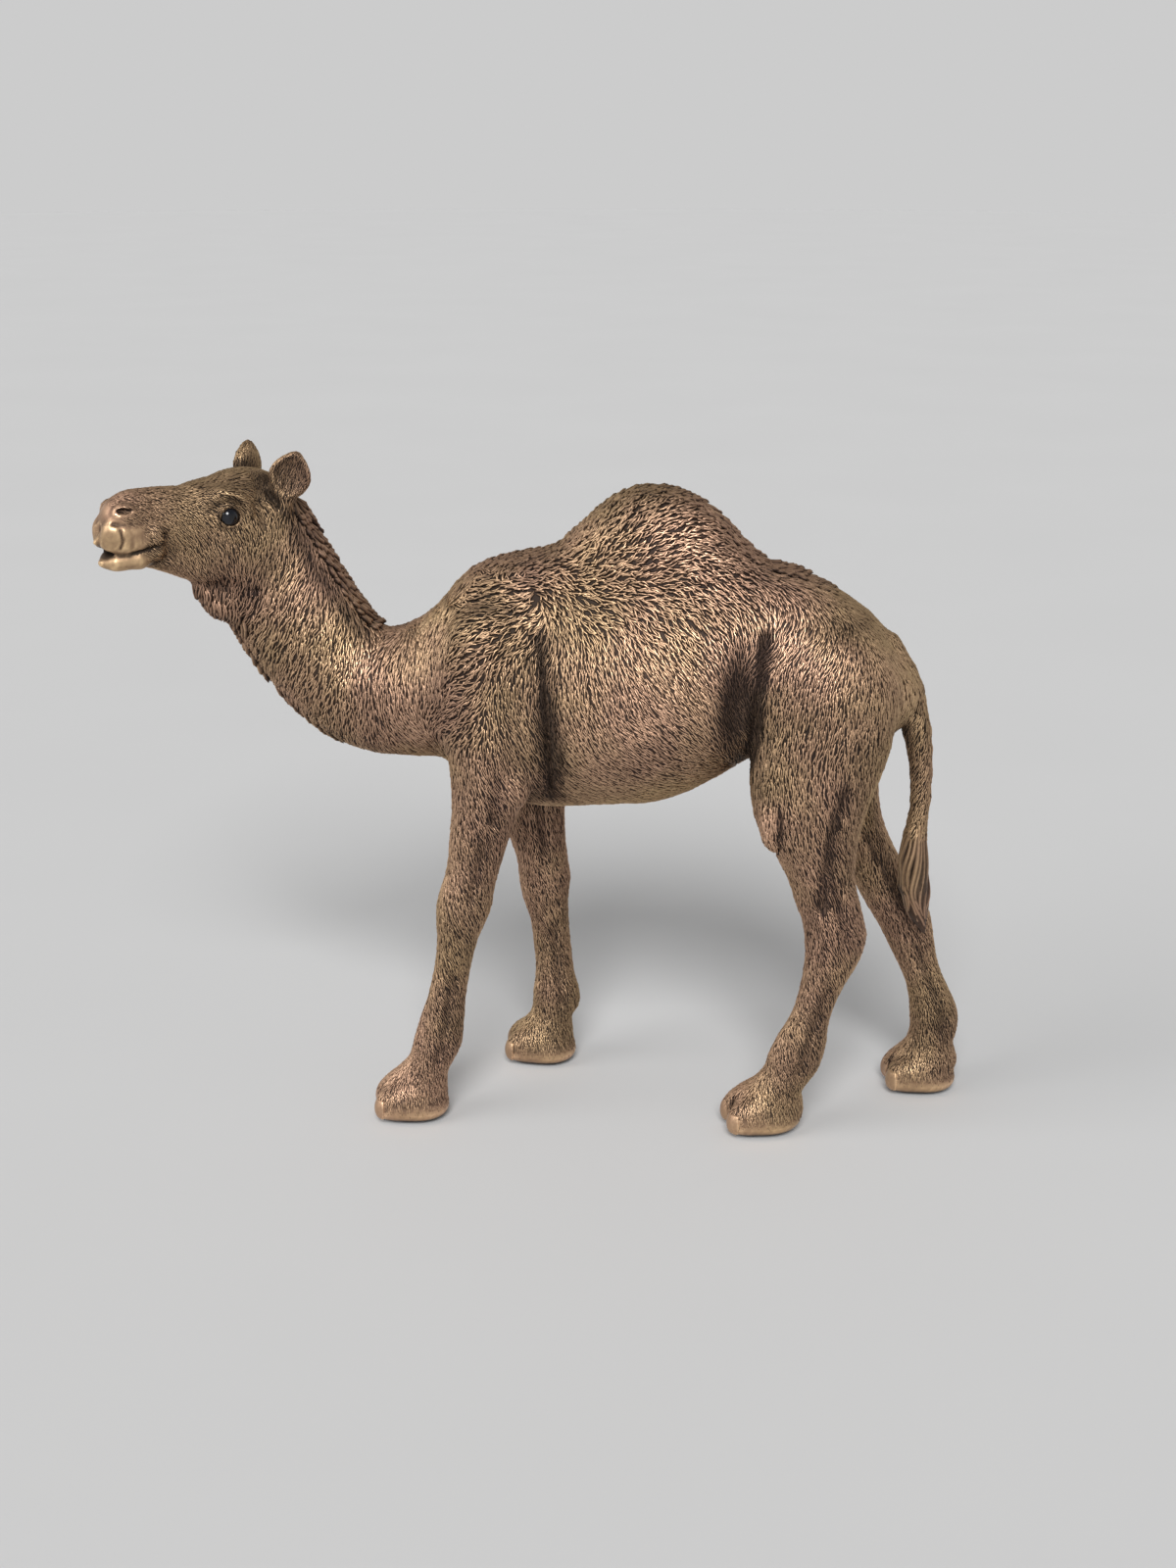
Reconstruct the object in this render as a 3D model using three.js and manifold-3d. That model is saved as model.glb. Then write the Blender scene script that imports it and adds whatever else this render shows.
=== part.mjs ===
// Cast dromedary figure, modelled whole as one smooth implicit body and parted with thin cuts into
// head, lower jaw, ears, eyes, neck, trunk, hump, tail, legs and feet.
// Millimetres, +Z up. The figure is built with its head towards -Y, its left side towards +X and its
// soles at z = 0, then moved so that the origin is the middle of its footprint.

import * as THREE from 'three';
import { mergeVertices } from 'three/addons/utils/BufferGeometryUtils.js';
import Module from 'manifold-3d';

const wasm = await Module();
wasm.setup();

// ---------------------------------------------------------------- driving dimensions
const GAP = 0.3;               // cut between neighbouring pieces
const HALF_GAP = GAP / 2;
const EAR_GAP = 0.85;          // between the level surfaces of head and ear, whose facets differ
const REACH = 400;             // side of the boxes that stand for half-spaces
const CELL = {                 // mesh cell of each piece along x, y and z
  head: [3.9, 3.9, 3.6], ear: [2.3, 2.3, 2.8], neck: [7.5, 8.5, 8], trunk: [9.6, 12, 9.6], hump: [7.5, 8, 6],
  tail: [3.2, 3.2, 6.4], leg: [5.1, 5.1, 11], foot: [4.3, 4.3, 4.1],
};

// Trunk along y: [y, top, underside, half width, height of the widest line]
const TRUNK = [
  [-68, 136, 126, 3, 131], [-62, 143, 119, 9, 131], [-56, 145.5, 116, 14, 131], [-50, 149.4, 114.2, 17, 131],
  [-45, 156.8, 113.8, 18.5, 131], [-40, 164, 108.7, 20.5, 132], [-35, 168.5, 103.8, 22, 133],
  [-30, 171.2, 100.7, 23.5, 132], [-20, 174.2, 97.6, 25.5, 130], [-10, 175.2, 96.8, 27, 128],
  [0, 175.4, 97.8, 28.5, 127], [10, 175, 98.8, 29.5, 127], [20, 175, 99.8, 29.5, 128],
  [30, 174.5, 103.1, 28.5, 131], [40, 173.6, 108.7, 26.5, 135], [50, 173, 115, 24, 139],
  [60, 171.8, 118, 22.5, 141], [70, 167.8, 119, 21.5, 141], [80, 161.5, 119, 19, 140],
  [87, 155, 121, 15.5, 139], [92, 148.6, 124, 12, 138], [96, 142.5, 128, 8, 137], [99, 138, 132, 3, 136],
];
// Hump along y: [y, top, half width at its root]
const HUMP = [
  [-24, 166, 12], [-16, 172, 14], [-10, 176, 15.5], [-5, 180.2, 16.5], [0, 184.8, 17.5], [5, 189.4, 18.2],
  [10, 192.8, 18.8], [15, 194.4, 19], [20, 194.8, 19], [25, 194.4, 18.6], [30, 192.6, 18], [35, 189.8, 17.2],
  [40, 185.6, 16.2], [45, 180.2, 15], [50, 175.6, 13.5], [56, 170, 11.5], [62, 161, 9],
];
const HUMP_ROOT = 158;         // height at which the hump is widest
// Neck axis: [step, x, y, z, half depth, half width]
const NECK = [
  [0, 0, -40, 134.4, 21.6, 19], [1, 0, -52, 131, 19.8, 17.5], [2, 0, -65, 130.7, 19.3, 15.5],
  [3, 0, -76.7, 137.2, 18.6, 14.3], [4, 0, -85, 147.3, 18.6, 13.8], [5, 0, -91.8, 158.2, 18.5, 13.4],
  [6, 0.2, -97, 168, 18, 13], [7, 0.3, -101, 177, 15.4, 12],
];
const NECK_STEPS = 20;
// Legs upwards: [z, front y, back y, centre x, half width]
const LEGS = {
  foreleg_left: [
    [0, -61, -44, 24, 6.8], [3, -62.6, -42, 24, 7.8], [6, -62.6, -41, 24, 8.2], [10, -61.6, -40.8, 24, 7.9],
    [13, -59.4, -40.8, 23.9, 7.2], [16, -56, -40.3, 23.9, 6.5], [20, -52.6, -38.2, 23.8, 6.1],
    [25, -51, -36, 23.7, 6.1], [30, -49.6, -35.4, 23.5, 5.8], [35, -48, -35, 23.3, 5.4],
    [40, -46.3, -34.6, 23.1, 5.2], [50, -44, -33, 22.6, 5.4], [55, -43.3, -31.9, 22.4, 5.8],
    [60, -43, -30.4, 22.2, 6.5], [65, -43.2, -28.2, 22, 7.1], [70, -43, -26.4, 21.7, 7.4],
    [75, -41.8, -25.6, 21.5, 7.3], [80, -40.2, -24.5, 21.2, 7.2], [85, -39.4, -23, 20.8, 7.5],
    [90, -39, -21.5, 20.4, 8], [100, -38.2, -18, 19.5, 9.2], [108, -38.4, -16, 18.8, 9.8],
    [118, -39.4, -15.5, 18, 10.4], [128, -41, -16, 17, 10.6], [140, -41, -18, 15, 9.6],
    [150, -38, -21, 12.5, 8], [158, -34, -26, 10, 5],
  ],
  foreleg_right: [
    [0, -28.2, -10.5, -22, 6.8], [3, -29.6, -8.8, -22, 7.8], [6, -29.4, -8, -22, 8.2],
    [10, -27.6, -8.2, -22, 7.8], [13, -25, -8.4, -22, 7], [16, -22.4, -8.4, -22, 6.2],
    [20, -21.3, -6.1, -22, 6], [25, -21, -6, -22, 6], [30, -20.3, -7.4, -21.9, 5.6],
    [35, -20.2, -8.1, -21.8, 5.2], [40, -20.6, -8.6, -21.7, 5.1], [50, -21.7, -9.4, -21.4, 5.6],
    [55, -23.3, -9.5, -21.2, 6.2], [60, -24.6, -9.2, -21, 6.8], [65, -25.2, -8.7, -20.9, 7.1],
    [70, -25.6, -9.4, -20.7, 7.2], [75, -27, -10, -20.5, 7.1], [80, -28.6, -10.3, -20.3, 7.2],
    [85, -29.6, -10.4, -20, 7.5], [90, -30.8, -10.4, -19.8, 8], [100, -33.4, -10.4, -19.2, 9.2],
    [108, -35.6, -11.5, -18.6, 9.8], [118, -38, -12.8, -18, 10.4], [128, -40, -15, -17, 10.6],
    [140, -41, -18, -15, 9.6], [150, -38, -21, -12.5, 8], [158, -34, -26, -10, 5],
  ],
  hindleg_left: [
    [0, 48.6, 66.2, 18, 6.8], [3, 46.8, 68.2, 18, 7.8], [6, 46, 69, 18, 8.2], [10, 46.6, 68.8, 18, 7.9],
    [13, 48.8, 68.4, 18, 7.3], [16, 53, 69.8, 18, 6.6], [20, 56.4, 72.6, 18, 6.3], [25, 58, 74.4, 18, 6.3],
    [30, 60, 75.4, 18, 6], [35, 62.7, 75.7, 18, 5.6], [40, 65, 76.7, 17.9, 5.3], [45, 66.3, 78.4, 17.8, 5.3],
    [50, 67.3, 80.6, 17.7, 5.5], [55, 67.9, 83.2, 17.6, 5.9], [60, 68, 85.2, 17.4, 6.3],
    [65, 67.6, 86, 17.2, 6.6], [70, 66.5, 85, 17, 6.6], [75, 64.5, 83.7, 16.8, 6.8],
    [80, 63, 82.3, 16.6, 7.3], [85, 60.7, 81.8, 16.4, 8.1], [90, 57.9, 82, 16.2, 9],
    [95, 54.3, 82.6, 16, 9.8], [100, 52.1, 83.6, 15.7, 10.5], [108, 50.5, 86, 15.2, 11.3],
    [118, 50.1, 89.5, 14.5, 12], [128, 51, 91.5, 13.7, 12.4], [140, 54, 91.5, 11.6, 11.6],
    [150, 58, 88, 9, 9], [158, 64, 82, 7, 5],
  ],
  hindleg_right: [
    [0, 95.8, 110.5, -18, 6.8], [3, 94, 113, -18, 7.8], [6, 93.6, 115, -18, 8.2], [10, 95, 116.2, -18, 7.8],
    [13, 97, 115.6, -18, 7.1], [16, 99.6, 114.8, -18, 6.4], [20, 100.9, 115.6, -18, 6.2],
    [25, 100.7, 115.9, -18, 6.2], [30, 100.3, 114.6, -18, 5.9], [35, 99.3, 112.2, -18, 5.5],
    [40, 97.5, 109.8, -17.9, 5.3], [45, 95, 108.2, -17.8, 5.3], [50, 92.5, 107.2, -17.7, 5.5],
    [55, 90, 106.4, -17.6, 5.9], [60, 87, 105.2, -17.4, 6.3], [65, 84, 102.4, -17.2, 6.6],
    [70, 81.4, 99.6, -17, 6.6], [75, 79, 96.6, -16.8, 6.8], [80, 76.4, 94, -16.6, 7.3],
    [85, 73.6, 91.6, -16.4, 8.1], [90, 70.6, 89.6, -16.2, 9], [95, 67.4, 88.4, -16, 9.8],
    [100, 64.2, 87.8, -15.7, 10.5], [108, 60, 88, -15.2, 11.3], [118, 56, 90, -14.5, 12],
    [128, 54, 91.5, -13.7, 12.4], [140, 55, 91.5, -11.6, 11.6], [150, 58, 88, -9, 9], [158, 64, 82, -7, 5],
  ],
};
const LEG_TOP = 158;
const LEG_SINK = 3;            // the legs' columns run on below the soles, where the feet are cut off flat
const LEAN = 0.93;             // legs lean, so a level section is a little wider than a square one
// Feet: x of the middle, y of the toe tips, degrees that the toes turn towards +X
const FEET = {
  foreleg_left: [24, -63, 11], foreleg_right: [-22, -29.8, 4],
  hindleg_left: [18, 44.8, 17], hindleg_right: [-18, 93.4, 10],
};
const FOOT_MIDDLE = 13.5;      // from the toe tips back to the middle of the pad
const FOOT_LENGTH = 24;
// Tail and its tuft: [y, z, radius] down the middle plane
const TAIL = [
  [88, 149, 5], [93.2, 141, 4.4], [96, 133, 4.2], [98.2, 124.3, 4.1], [99.4, 118, 3.6], [100.1, 111, 3.2],
  [100.3, 103, 2.95], [99.8, 97, 2.8], [99.2, 91, 3.5], [99, 84, 4.3], [99.5, 75, 4.4], [101.2, 67, 3.2],
  [103.2, 60.5, 0.9],
];
// Head frame: s forward from between the eyes, w out to the animal's left, v up
const HEAD_YAW = THREE.MathUtils.degToRad(43);
const HEAD_AT = new THREE.Vector3(10.6, -109.9, 186);
// Skull and jaw along s: [s, top, underside, half width, height of the widest line]
const SKULL = [
  [-27, 0, -16, 7, -6], [-21, 6.8, -18, 10.6, -5], [-16, 9.8, -19, 11.6, -4], [-11, 11.2, -19, 11.9, -3.5],
  [-5, 11.1, -19, 11.7, -3], [0, 10.2, -18.5, 11, -3], [5, 9.2, -17, 9.9, -3.5], [10, 8.7, -15, 8.8, -4],
  [15, 8.9, -13, 7.9, -4], [20, 9, -11.5, 7.2, -3.5], [25, 8.7, -10, 6.8, -3], [29, 7.3, -9, 6.2, -2.5],
  [33, 4, -8, 4.6, -2.5], [35.6, 0.5, -6, 2.2, -3],
];
const JAW = [
  [-15, -4, -19.6, 8.6, -12], [-8, -5, -21.6, 9.3, -13], [0, -6, -21.5, 9, -13], [6, -7, -20.6, 8.1, -13.5],
  [11, -7.5, -18.8, 7, -13], [16, -8, -16.5, 6, -12.5], [21, -8.4, -14.5, 5.2, -12],
  [26, -8.8, -13.3, 4.9, -11.6], [31, -9.4, -13.3, 4.5, -11.8], [34.5, -10.4, -12.8, 3.2, -11.8],
  [36.4, -11, -12, 1.1, -11.5],
];
const EYE = { s: 0, w: 9.6, v: 0, radius: 3.1 };
const EAR = { s: { 1: -17.0, [-1]: -16.0 }, lean: { 1: 0.3, [-1]: 0.17 }, w: 10.8, v: 2.6, height: 15.4 };
const MOUTH_FRONT = { s: 37, v: -9.9 };
const MOUTH_BACK = { s: 18, v: -6.7 };
const JAW_REAR = -7;           // s of the cut at the back of the lower jaw
const BITE = { s: 35, v: -9.4, radii: [3.6, 4.2, 1.1] };       // gap between the front of the lips
const NOSTRIL = { s: 30.9, w: 6.2, v: 4.1, radii: [1.8, 2.7, 0.8] };
const TOE_SLOT = { halfWidth: 0.5, length: 6.5, top: 11 };     // split between the two toes
// Where the pieces are parted: a point on each cut and the direction of the outer piece
const THROAT_CUT = { point: [0, -99.5, 167], normal: [0, -0.6, 0.8] };
const SHOULDER_CUT = { point: [0, -50, 130], normal: [0, -1, 0] };
const HUMP_CUT = { point: [0, 20, 177], normal: [0, 0, 1] };
const DOCK_CUT = { point: [0, 96, 140], normal: [0, 1, -0.12] };
const TASSEL_CUT = { point: [0, 100, 88], normal: [0, 0, -1] };
const FETLOCK_CUT = { point: [0, 0, 17], normal: [0, 0, 1] };
const MIDDLE_SLAB = 6;         // half width of the strip of trunk between the legs
const ZONE_DEPTH = 60;         // a leg's zone reaches this far out from that strip
// Outline of a leg's zone seen from the side: an arch in the flank over a door below the belly
const ZONE_LOW = 2;
const ARCH_FOOT = 130;         // height from which the arch is round
const FORE_ZONE = { front: -80, back: 25, wideTop: 96, archFront: -47, archBack: -13 };
const HIND_ZONE = { front: 43, back: 130, wideTop: 110, archFront: 48.5, archBack: 95 };
// Box in which each piece is meshed
const EXTENT = {
  head: [[-22, -148, 144], [48, -76, 206]],
  neck: [[-26, -128, 100], [26, -42, 194]],
  trunk: [[-36, -60, 86], [36, 108, 186]],
  hump: [[-30, -26, 168], [30, 64, 202]],
  tail: [[-10, 84, 82], [10, 110, 158]],
  tassel: [[-8, 90, 56], [8, 110, 96]],
  foreleg: [[1, -70, 8], [36, -4, 160]],
  hindleg: [[1, 42, 8], [36, 122, 160]],
};

// ---------------------------------------------------------------- distance fields
const clamp = (x, lo, hi) => Math.min(Math.max(x, lo), hi);

// Smooth union and smooth intersection over a blend width k
function join(a, b, k) {
  const h = clamp(0.5 + (0.5 * (b - a)) / k, 0, 1);
  return b + (a - b) * h - k * h * (1 - h);
}
const carve = (a, b, k) => -join(-a, -b, k);

// Smooth curve through rows whose first number is the station; returns the other numbers at q
function curve(rows) {
  const stations = rows.map((row) => row[0]);
  const values = rows.map((row) => row.slice(1));
  const slope = (i) => values[i].map((v, c) => (values[i + 1][c] - v) / (stations[i + 1] - stations[i]));
  const last = rows.length - 1;
  const tangents = rows.map((row, i) => {
    const before = slope(Math.max(i - 1, 0));
    const after = slope(Math.min(i, last - 1));
    return before.map((m, c) => (m + after[c]) / 2);
  });
  return (q) => {
    const t = clamp(q, stations[0], stations[last]);
    let i = 0;
    while (i < last - 1 && t >= stations[i + 1]) i += 1;
    const h = stations[i + 1] - stations[i];
    const u = (t - stations[i]) / h;
    const rise = 3 * u ** 2 - 2 * u ** 3;
    const leave = h * (u ** 3 - 2 * u ** 2 + u);
    const arrive = h * (u ** 3 - u ** 2);
    return values[i].map((v, n) => v + rise * (values[i + 1][n] - v)
      + leave * tangents[i][n] + arrive * tangents[i + 1][n]);
  };
}

// Distance to an ellipse with half axes a and b
function oval(u, v, a, b) {
  const k = Math.hypot(u / a, v / b);
  const g = Math.hypot(u / a ** 2, v / b ** 2);
  return (k - 1) * (g < 1e-6 ? Math.min(a, b) : k / g);
}

// Distance to an ellipsoid at c with half axes r, turned about z by yaw degrees
function egg(p, c, r, yaw = 0) {
  const turn = THREE.MathUtils.degToRad(yaw);
  const dx = p[0] - c[0];
  const dy = p[1] - c[1];
  const x = Math.cos(turn) * dx + Math.sin(turn) * dy;
  const y = Math.cos(turn) * dy - Math.sin(turn) * dx;
  const z = p[2] - c[2];
  const k = Math.hypot(x / r[0], y / r[1], z / r[2]);
  const g = Math.hypot(x / r[0] ** 2, y / r[1] ** 2, z / r[2] ** 2);
  return (k - 1) * (g < 1e-6 ? Math.min(...r) : k / g);
}

// Nearest point of the segment from a to b: how far along it is, and the offset from it to p
function nearest(p, a, b) {
  const d = [b[0] - a[0], b[1] - a[1], b[2] - a[2]];
  const along = (p[0] - a[0]) * d[0] + (p[1] - a[1]) * d[1] + (p[2] - a[2]) * d[2];
  const t = clamp(along / (d[0] ** 2 + d[1] ** 2 + d[2] ** 2), 0, 1);
  return { t, offset: [0, 1, 2].map((i) => p[i] - a[i] - t * d[i]) };
}

// Distance to a round cone from a, radius ra, to b, radius rb
function rod(p, a, b, ra, rb) {
  const { t, offset } = nearest(p, a, b);
  return Math.hypot(...offset) - (ra + (rb - ra) * t);
}

// Swept body with a top, an underside, a half width and a widest height at each station
function beam(along, x, z, at, from, to) {
  const [top, low, wide, mid] = at(along);
  const d = oval(x, z - mid, wide, z > mid ? top - mid : mid - low);
  return Math.max(d, from - along, along - to);
}

const trunkAt = curve(TRUNK);
const humpAt = curve(HUMP);
const neckAt = curve(NECK);
const skullAt = curve(SKULL);
const jawAt = curve(JAW);
const legAt = Object.fromEntries(Object.entries(LEGS).map(([name, rows]) => [name, curve(rows)]));

function hump(p) {
  const [top, wide] = humpAt(p[1]);
  const d = oval(p[0], p[2] - HUMP_ROOT, wide, Math.max(top - HUMP_ROOT, 1));
  return Math.max(d, HUMP[0][0] - p[1], p[1] - HUMP.at(-1)[0]);
}

function trunk(p) {
  const barrel = beam(p[1], p[0], p[2], trunkAt, TRUNK[0][0], TRUNK.at(-1)[0]);
  return join(barrel, hump(p), 4);
}

function neck(p) {
  let best = Infinity;
  const knots = Array.from({ length: NECK_STEPS + 1 }, (_, i) => neckAt((NECK.at(-1)[0] * i) / NECK_STEPS));
  for (let i = 0; i < NECK_STEPS; i += 1) {
    const [a, b] = [knots[i], knots[i + 1]];
    const { t, offset } = nearest(p, a, b);
    const deep = a[3] + (b[3] - a[3]) * t;
    const wide = a[4] + (b[4] - a[4]) * t;
    best = Math.min(best, oval(offset[0], Math.hypot(offset[1], offset[2]), wide, deep));
  }
  return best;
}

// Point seen from a foot: x across its two toes, y back from their tips
function toeFrame(p, name) {
  const [cx, tip, turn] = FEET[name];
  const angle = THREE.MathUtils.degToRad(turn);
  const [c, s] = [Math.cos(angle), Math.sin(angle)];
  const [x, y] = [p[0] - cx, p[1] - tip - FOOT_MIDDLE];
  return [c * x + s * y, FOOT_MIDDLE + c * y - s * x, p[2]];
}

function foot(p, name) {
  const q = toeFrame(p, name);
  const toe = (side) => {
    const pad = egg(q, [side * 4.1, 9, 5.3], [4.8, 9, 7.5], side * 4);
    const nail = egg(q, [side * 4.5, 3.4, 4.8], [3.3, 3.3, 3.9]);
    return join(pad, nail, 1.6);
  };
  const heel = egg(q, [0, 13.5, 3.4], [9, 9.2, 6.8]);
  return join(join(toe(-1), toe(1), 0.7), heel, 2);
}

function leg(p, name) {
  const [front, back, cx, wide] = legAt[name](p[2]);
  const d = oval(p[0] - cx, p[1] - (front + back) / 2, wide, (back - front) / 2);
  const column = Math.max(d * LEAN, -LEG_SINK - p[2], p[2] - LEG_TOP);
  return join(column, foot(p, name), 1.6);
}

function tail(p) {
  let d = Infinity;
  for (let i = 0; i < TAIL.length - 1; i += 1) {
    const [a, b] = [TAIL[i], TAIL[i + 1]];
    const piece = rod(p, [0, a[0], a[1]], [0, b[0], b[1]], a[2], b[2]);
    d = d === Infinity ? piece : join(d, piece, 0.8);
  }
  return d;
}

// World point to head frame (s, w, v), and back
const FORWARD = [Math.sin(HEAD_YAW), -Math.cos(HEAD_YAW), 0];
const LEFT = [Math.cos(HEAD_YAW), Math.sin(HEAD_YAW), 0];
function toHead(p) {
  const x = p[0] - HEAD_AT.x;
  const y = p[1] - HEAD_AT.y;
  return [x * FORWARD[0] + y * FORWARD[1], x * LEFT[0] + y * LEFT[1], p[2] - HEAD_AT.z];
}
function fromHead(s, w, v) {
  return new THREE.Vector3(
    HEAD_AT.x + s * FORWARD[0] + w * LEFT[0], HEAD_AT.y + s * FORWARD[1] + w * LEFT[1], HEAD_AT.z + v);
}

function head(p) {
  const q = toHead(p);
  const m = [q[0], Math.abs(q[1]), q[2]];
  const lipBlend = 1.2 + 5.3 * clamp((24 - q[0]) / 18, 0, 1);
  let d = beam(q[0], q[1], q[2], skullAt, SKULL[0][0], SKULL.at(-1)[0]);
  d = join(d, beam(q[0], q[1], q[2], jawAt, JAW[0][0], JAW.at(-1)[0]), lipBlend);
  d = join(d, egg(m, [28, 3.4, -2.2], [8.6, 4.6, 6.2]), 1.6);        // upper lip
  d = join(d, egg(q, [27.2, 0, 2.2], [7.6, 5.8, 5.9]), 1.6);         // nose
  d = join(d, egg(m, [33.6, 2, -4.9], [3.2, 2.3, 2.9]), 1);          // front of the lips
  d = join(d, egg(q, [30.6, 0, -11.2], [6, 4.3, 2.6]), 1.2);         // lower lip
  d = join(d, rod(m, [32.4, 2.8, -11.2], [26.5, 4.7, -10.5], 2.0, 2.5), 1);
  d = join(d, rod(m, [26.5, 4.7, -10.5], [22.8, 5.2, -9.6], 2.5, 2.2), 1);
  d = join(d, rod(m, [33, 3.4, -8.4], [21.6, 5.8, -6.3], 1.5, 2.1), 1.2);
  d = join(d, egg(m, [-7, 7.6, -9.8], [10.5, 4.8, 9.5]), 4);         // cheek
  d = join(d, egg(m, [-1.4, 7.6, 5.3], [7, 3.3, 3.4], -6), 3.5);     // brow
  d = join(d, egg(m, [-16.5, 8.6, 4], [4.2, 3.2, 4.4]), 2.5);        // root of the ear
  d = join(d, egg(q, [-9.5, 0, 8.1], [9, 7.5, 3.2]), 3);             // crown
  d = join(d, egg(q, [6.2, 0, 6.2], [4, 5, 3.1]), 1.5);              // forehead
  d = join(d, egg(q, [-5, 0, -25.4], [7.5, 6.3, 5.6]), 4.5);         // throat
  d = join(d, rod(q, [5, 0, -21.4], [-1, 0, -27], 2.7, 3.9), 3);
  return d;
}

// Ear frame: n out of the open side, y across, up along the ear
function earFrame(side) {
  const up = new THREE.Vector3(-EAR.lean[side], 0.16 * side, 1).normalize();
  const n = new THREE.Vector3(0.5, 0.866 * side, 0);
  n.addScaledVector(up, -n.dot(up)).normalize();
  return { up, n, y: up.clone().cross(n) };
}
const EAR_FRAME = { 1: earFrame(1), [-1]: earFrame(-1) };

function ear(p, side) {
  const q = toHead(p);
  const r = new THREE.Vector3(q[0] - EAR.s[side], q[1] - side * EAR.w, q[2] - EAR.v);
  const { up, n, y } = EAR_FRAME[side];
  const l = [r.dot(n), r.dot(y), r.dot(up)];
  const rise = clamp(l[2] / EAR.height, 0, 1);
  const taper = 0.62 + 1.95 * rise * (1 - rise);
  const t = [l[0], l[1] / taper, l[2]];
  const leaf = egg(t, [0, 0, EAR.height / 2], [3.2, 5.7, EAR.height / 2 + 0.3]);
  const bowl = egg(t, [2.8, 0, EAR.height / 2 + 0.6], [2.9, 4.5, EAR.height / 2 - 1.5]);
  const stalk = rod(l, [-0.8, 0, -2.5], [-0.6, 0, 2], 3.4, 2.3);
  return join(carve(leaf, -bowl, 0.6), stalk, 1.2);
}

function body(p) {
  const m = [Math.abs(p[0]), p[1], p[2]];
  let d = join(trunk(p), neck(p), 7);
  d = join(d, egg(m, [17.5, -29, 140], [8.5, 13, 20]), 5);           // shoulder
  d = join(d, egg(m, [13.5, 71, 139], [11.5, 19, 17]), 5);           // top of the thigh
  const legs = Math.min(...Object.keys(LEGS).map((name) => leg(p, name)));
  d = join(d, legs, 3.5);
  d = join(d, tail(p), 2);
  return join(d, head(p), 5);
}

// ---------------------------------------------------------------- meshing
const CORNERS = Array.from({ length: 8 }, (_, c) => [c & 1, (c >> 1) & 1, (c >> 2) & 1]);
// Corner pairs across each face of a cell, and across the cell
const FACE_PAIRS = [0, 1, 2].flatMap((axis) => {
  const [u, v] = [0, 1, 2].filter((other) => other !== axis).map((other) => 1 << other);
  return [0, 1 << axis].map((base) => [[base, base + u + v], [base + u, base + v]]);
});
const CELL_PAIRS = [[0, 7], [1, 6], [2, 5], [4, 3]];

// Fills the grid points where solid only touches itself across a diagonal, so that the surface
// never pinches to an edge or a corner
function tidySigns(values, [nx, ny, nz], index) {
  const filled = -1e-3;
  let changed = true;
  while (changed) {
    changed = false;
    for (let i = 0; i < nx - 1; i += 1) {
      for (let j = 0; j < ny - 1; j += 1) {
        for (let k = 0; k < nz - 1; k += 1) {
          const spots = CORNERS.map(([a, b, c]) => index(i + a, j + b, k + c));
          const solid = (c) => values[spots[c]] < 0;
          const fill = (choices) => {
            const spot = choices.map((c) => spots[c]).sort((a, b) => values[a] - values[b])[0];
            values[spot] = filled;
            changed = true;
          };
          for (const [[a, b], [c, d]] of FACE_PAIRS) {
            if (solid(a) === solid(b) && solid(c) === solid(d) && solid(a) !== solid(c)) {
              fill(solid(a) ? [c, d] : [a, b]);
            }
          }
          for (const [a, b] of CELL_PAIRS) {
            const others = [0, 1, 2, 3, 4, 5, 6, 7].filter((c) => c !== a && c !== b);
            if (solid(a) && solid(b) && others.every((c) => !solid(c))) fill(others);
            if (!solid(a) && !solid(b) && others.every(solid)) fill([a, b]);
          }
        }
      }
    }
  }
}

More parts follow.
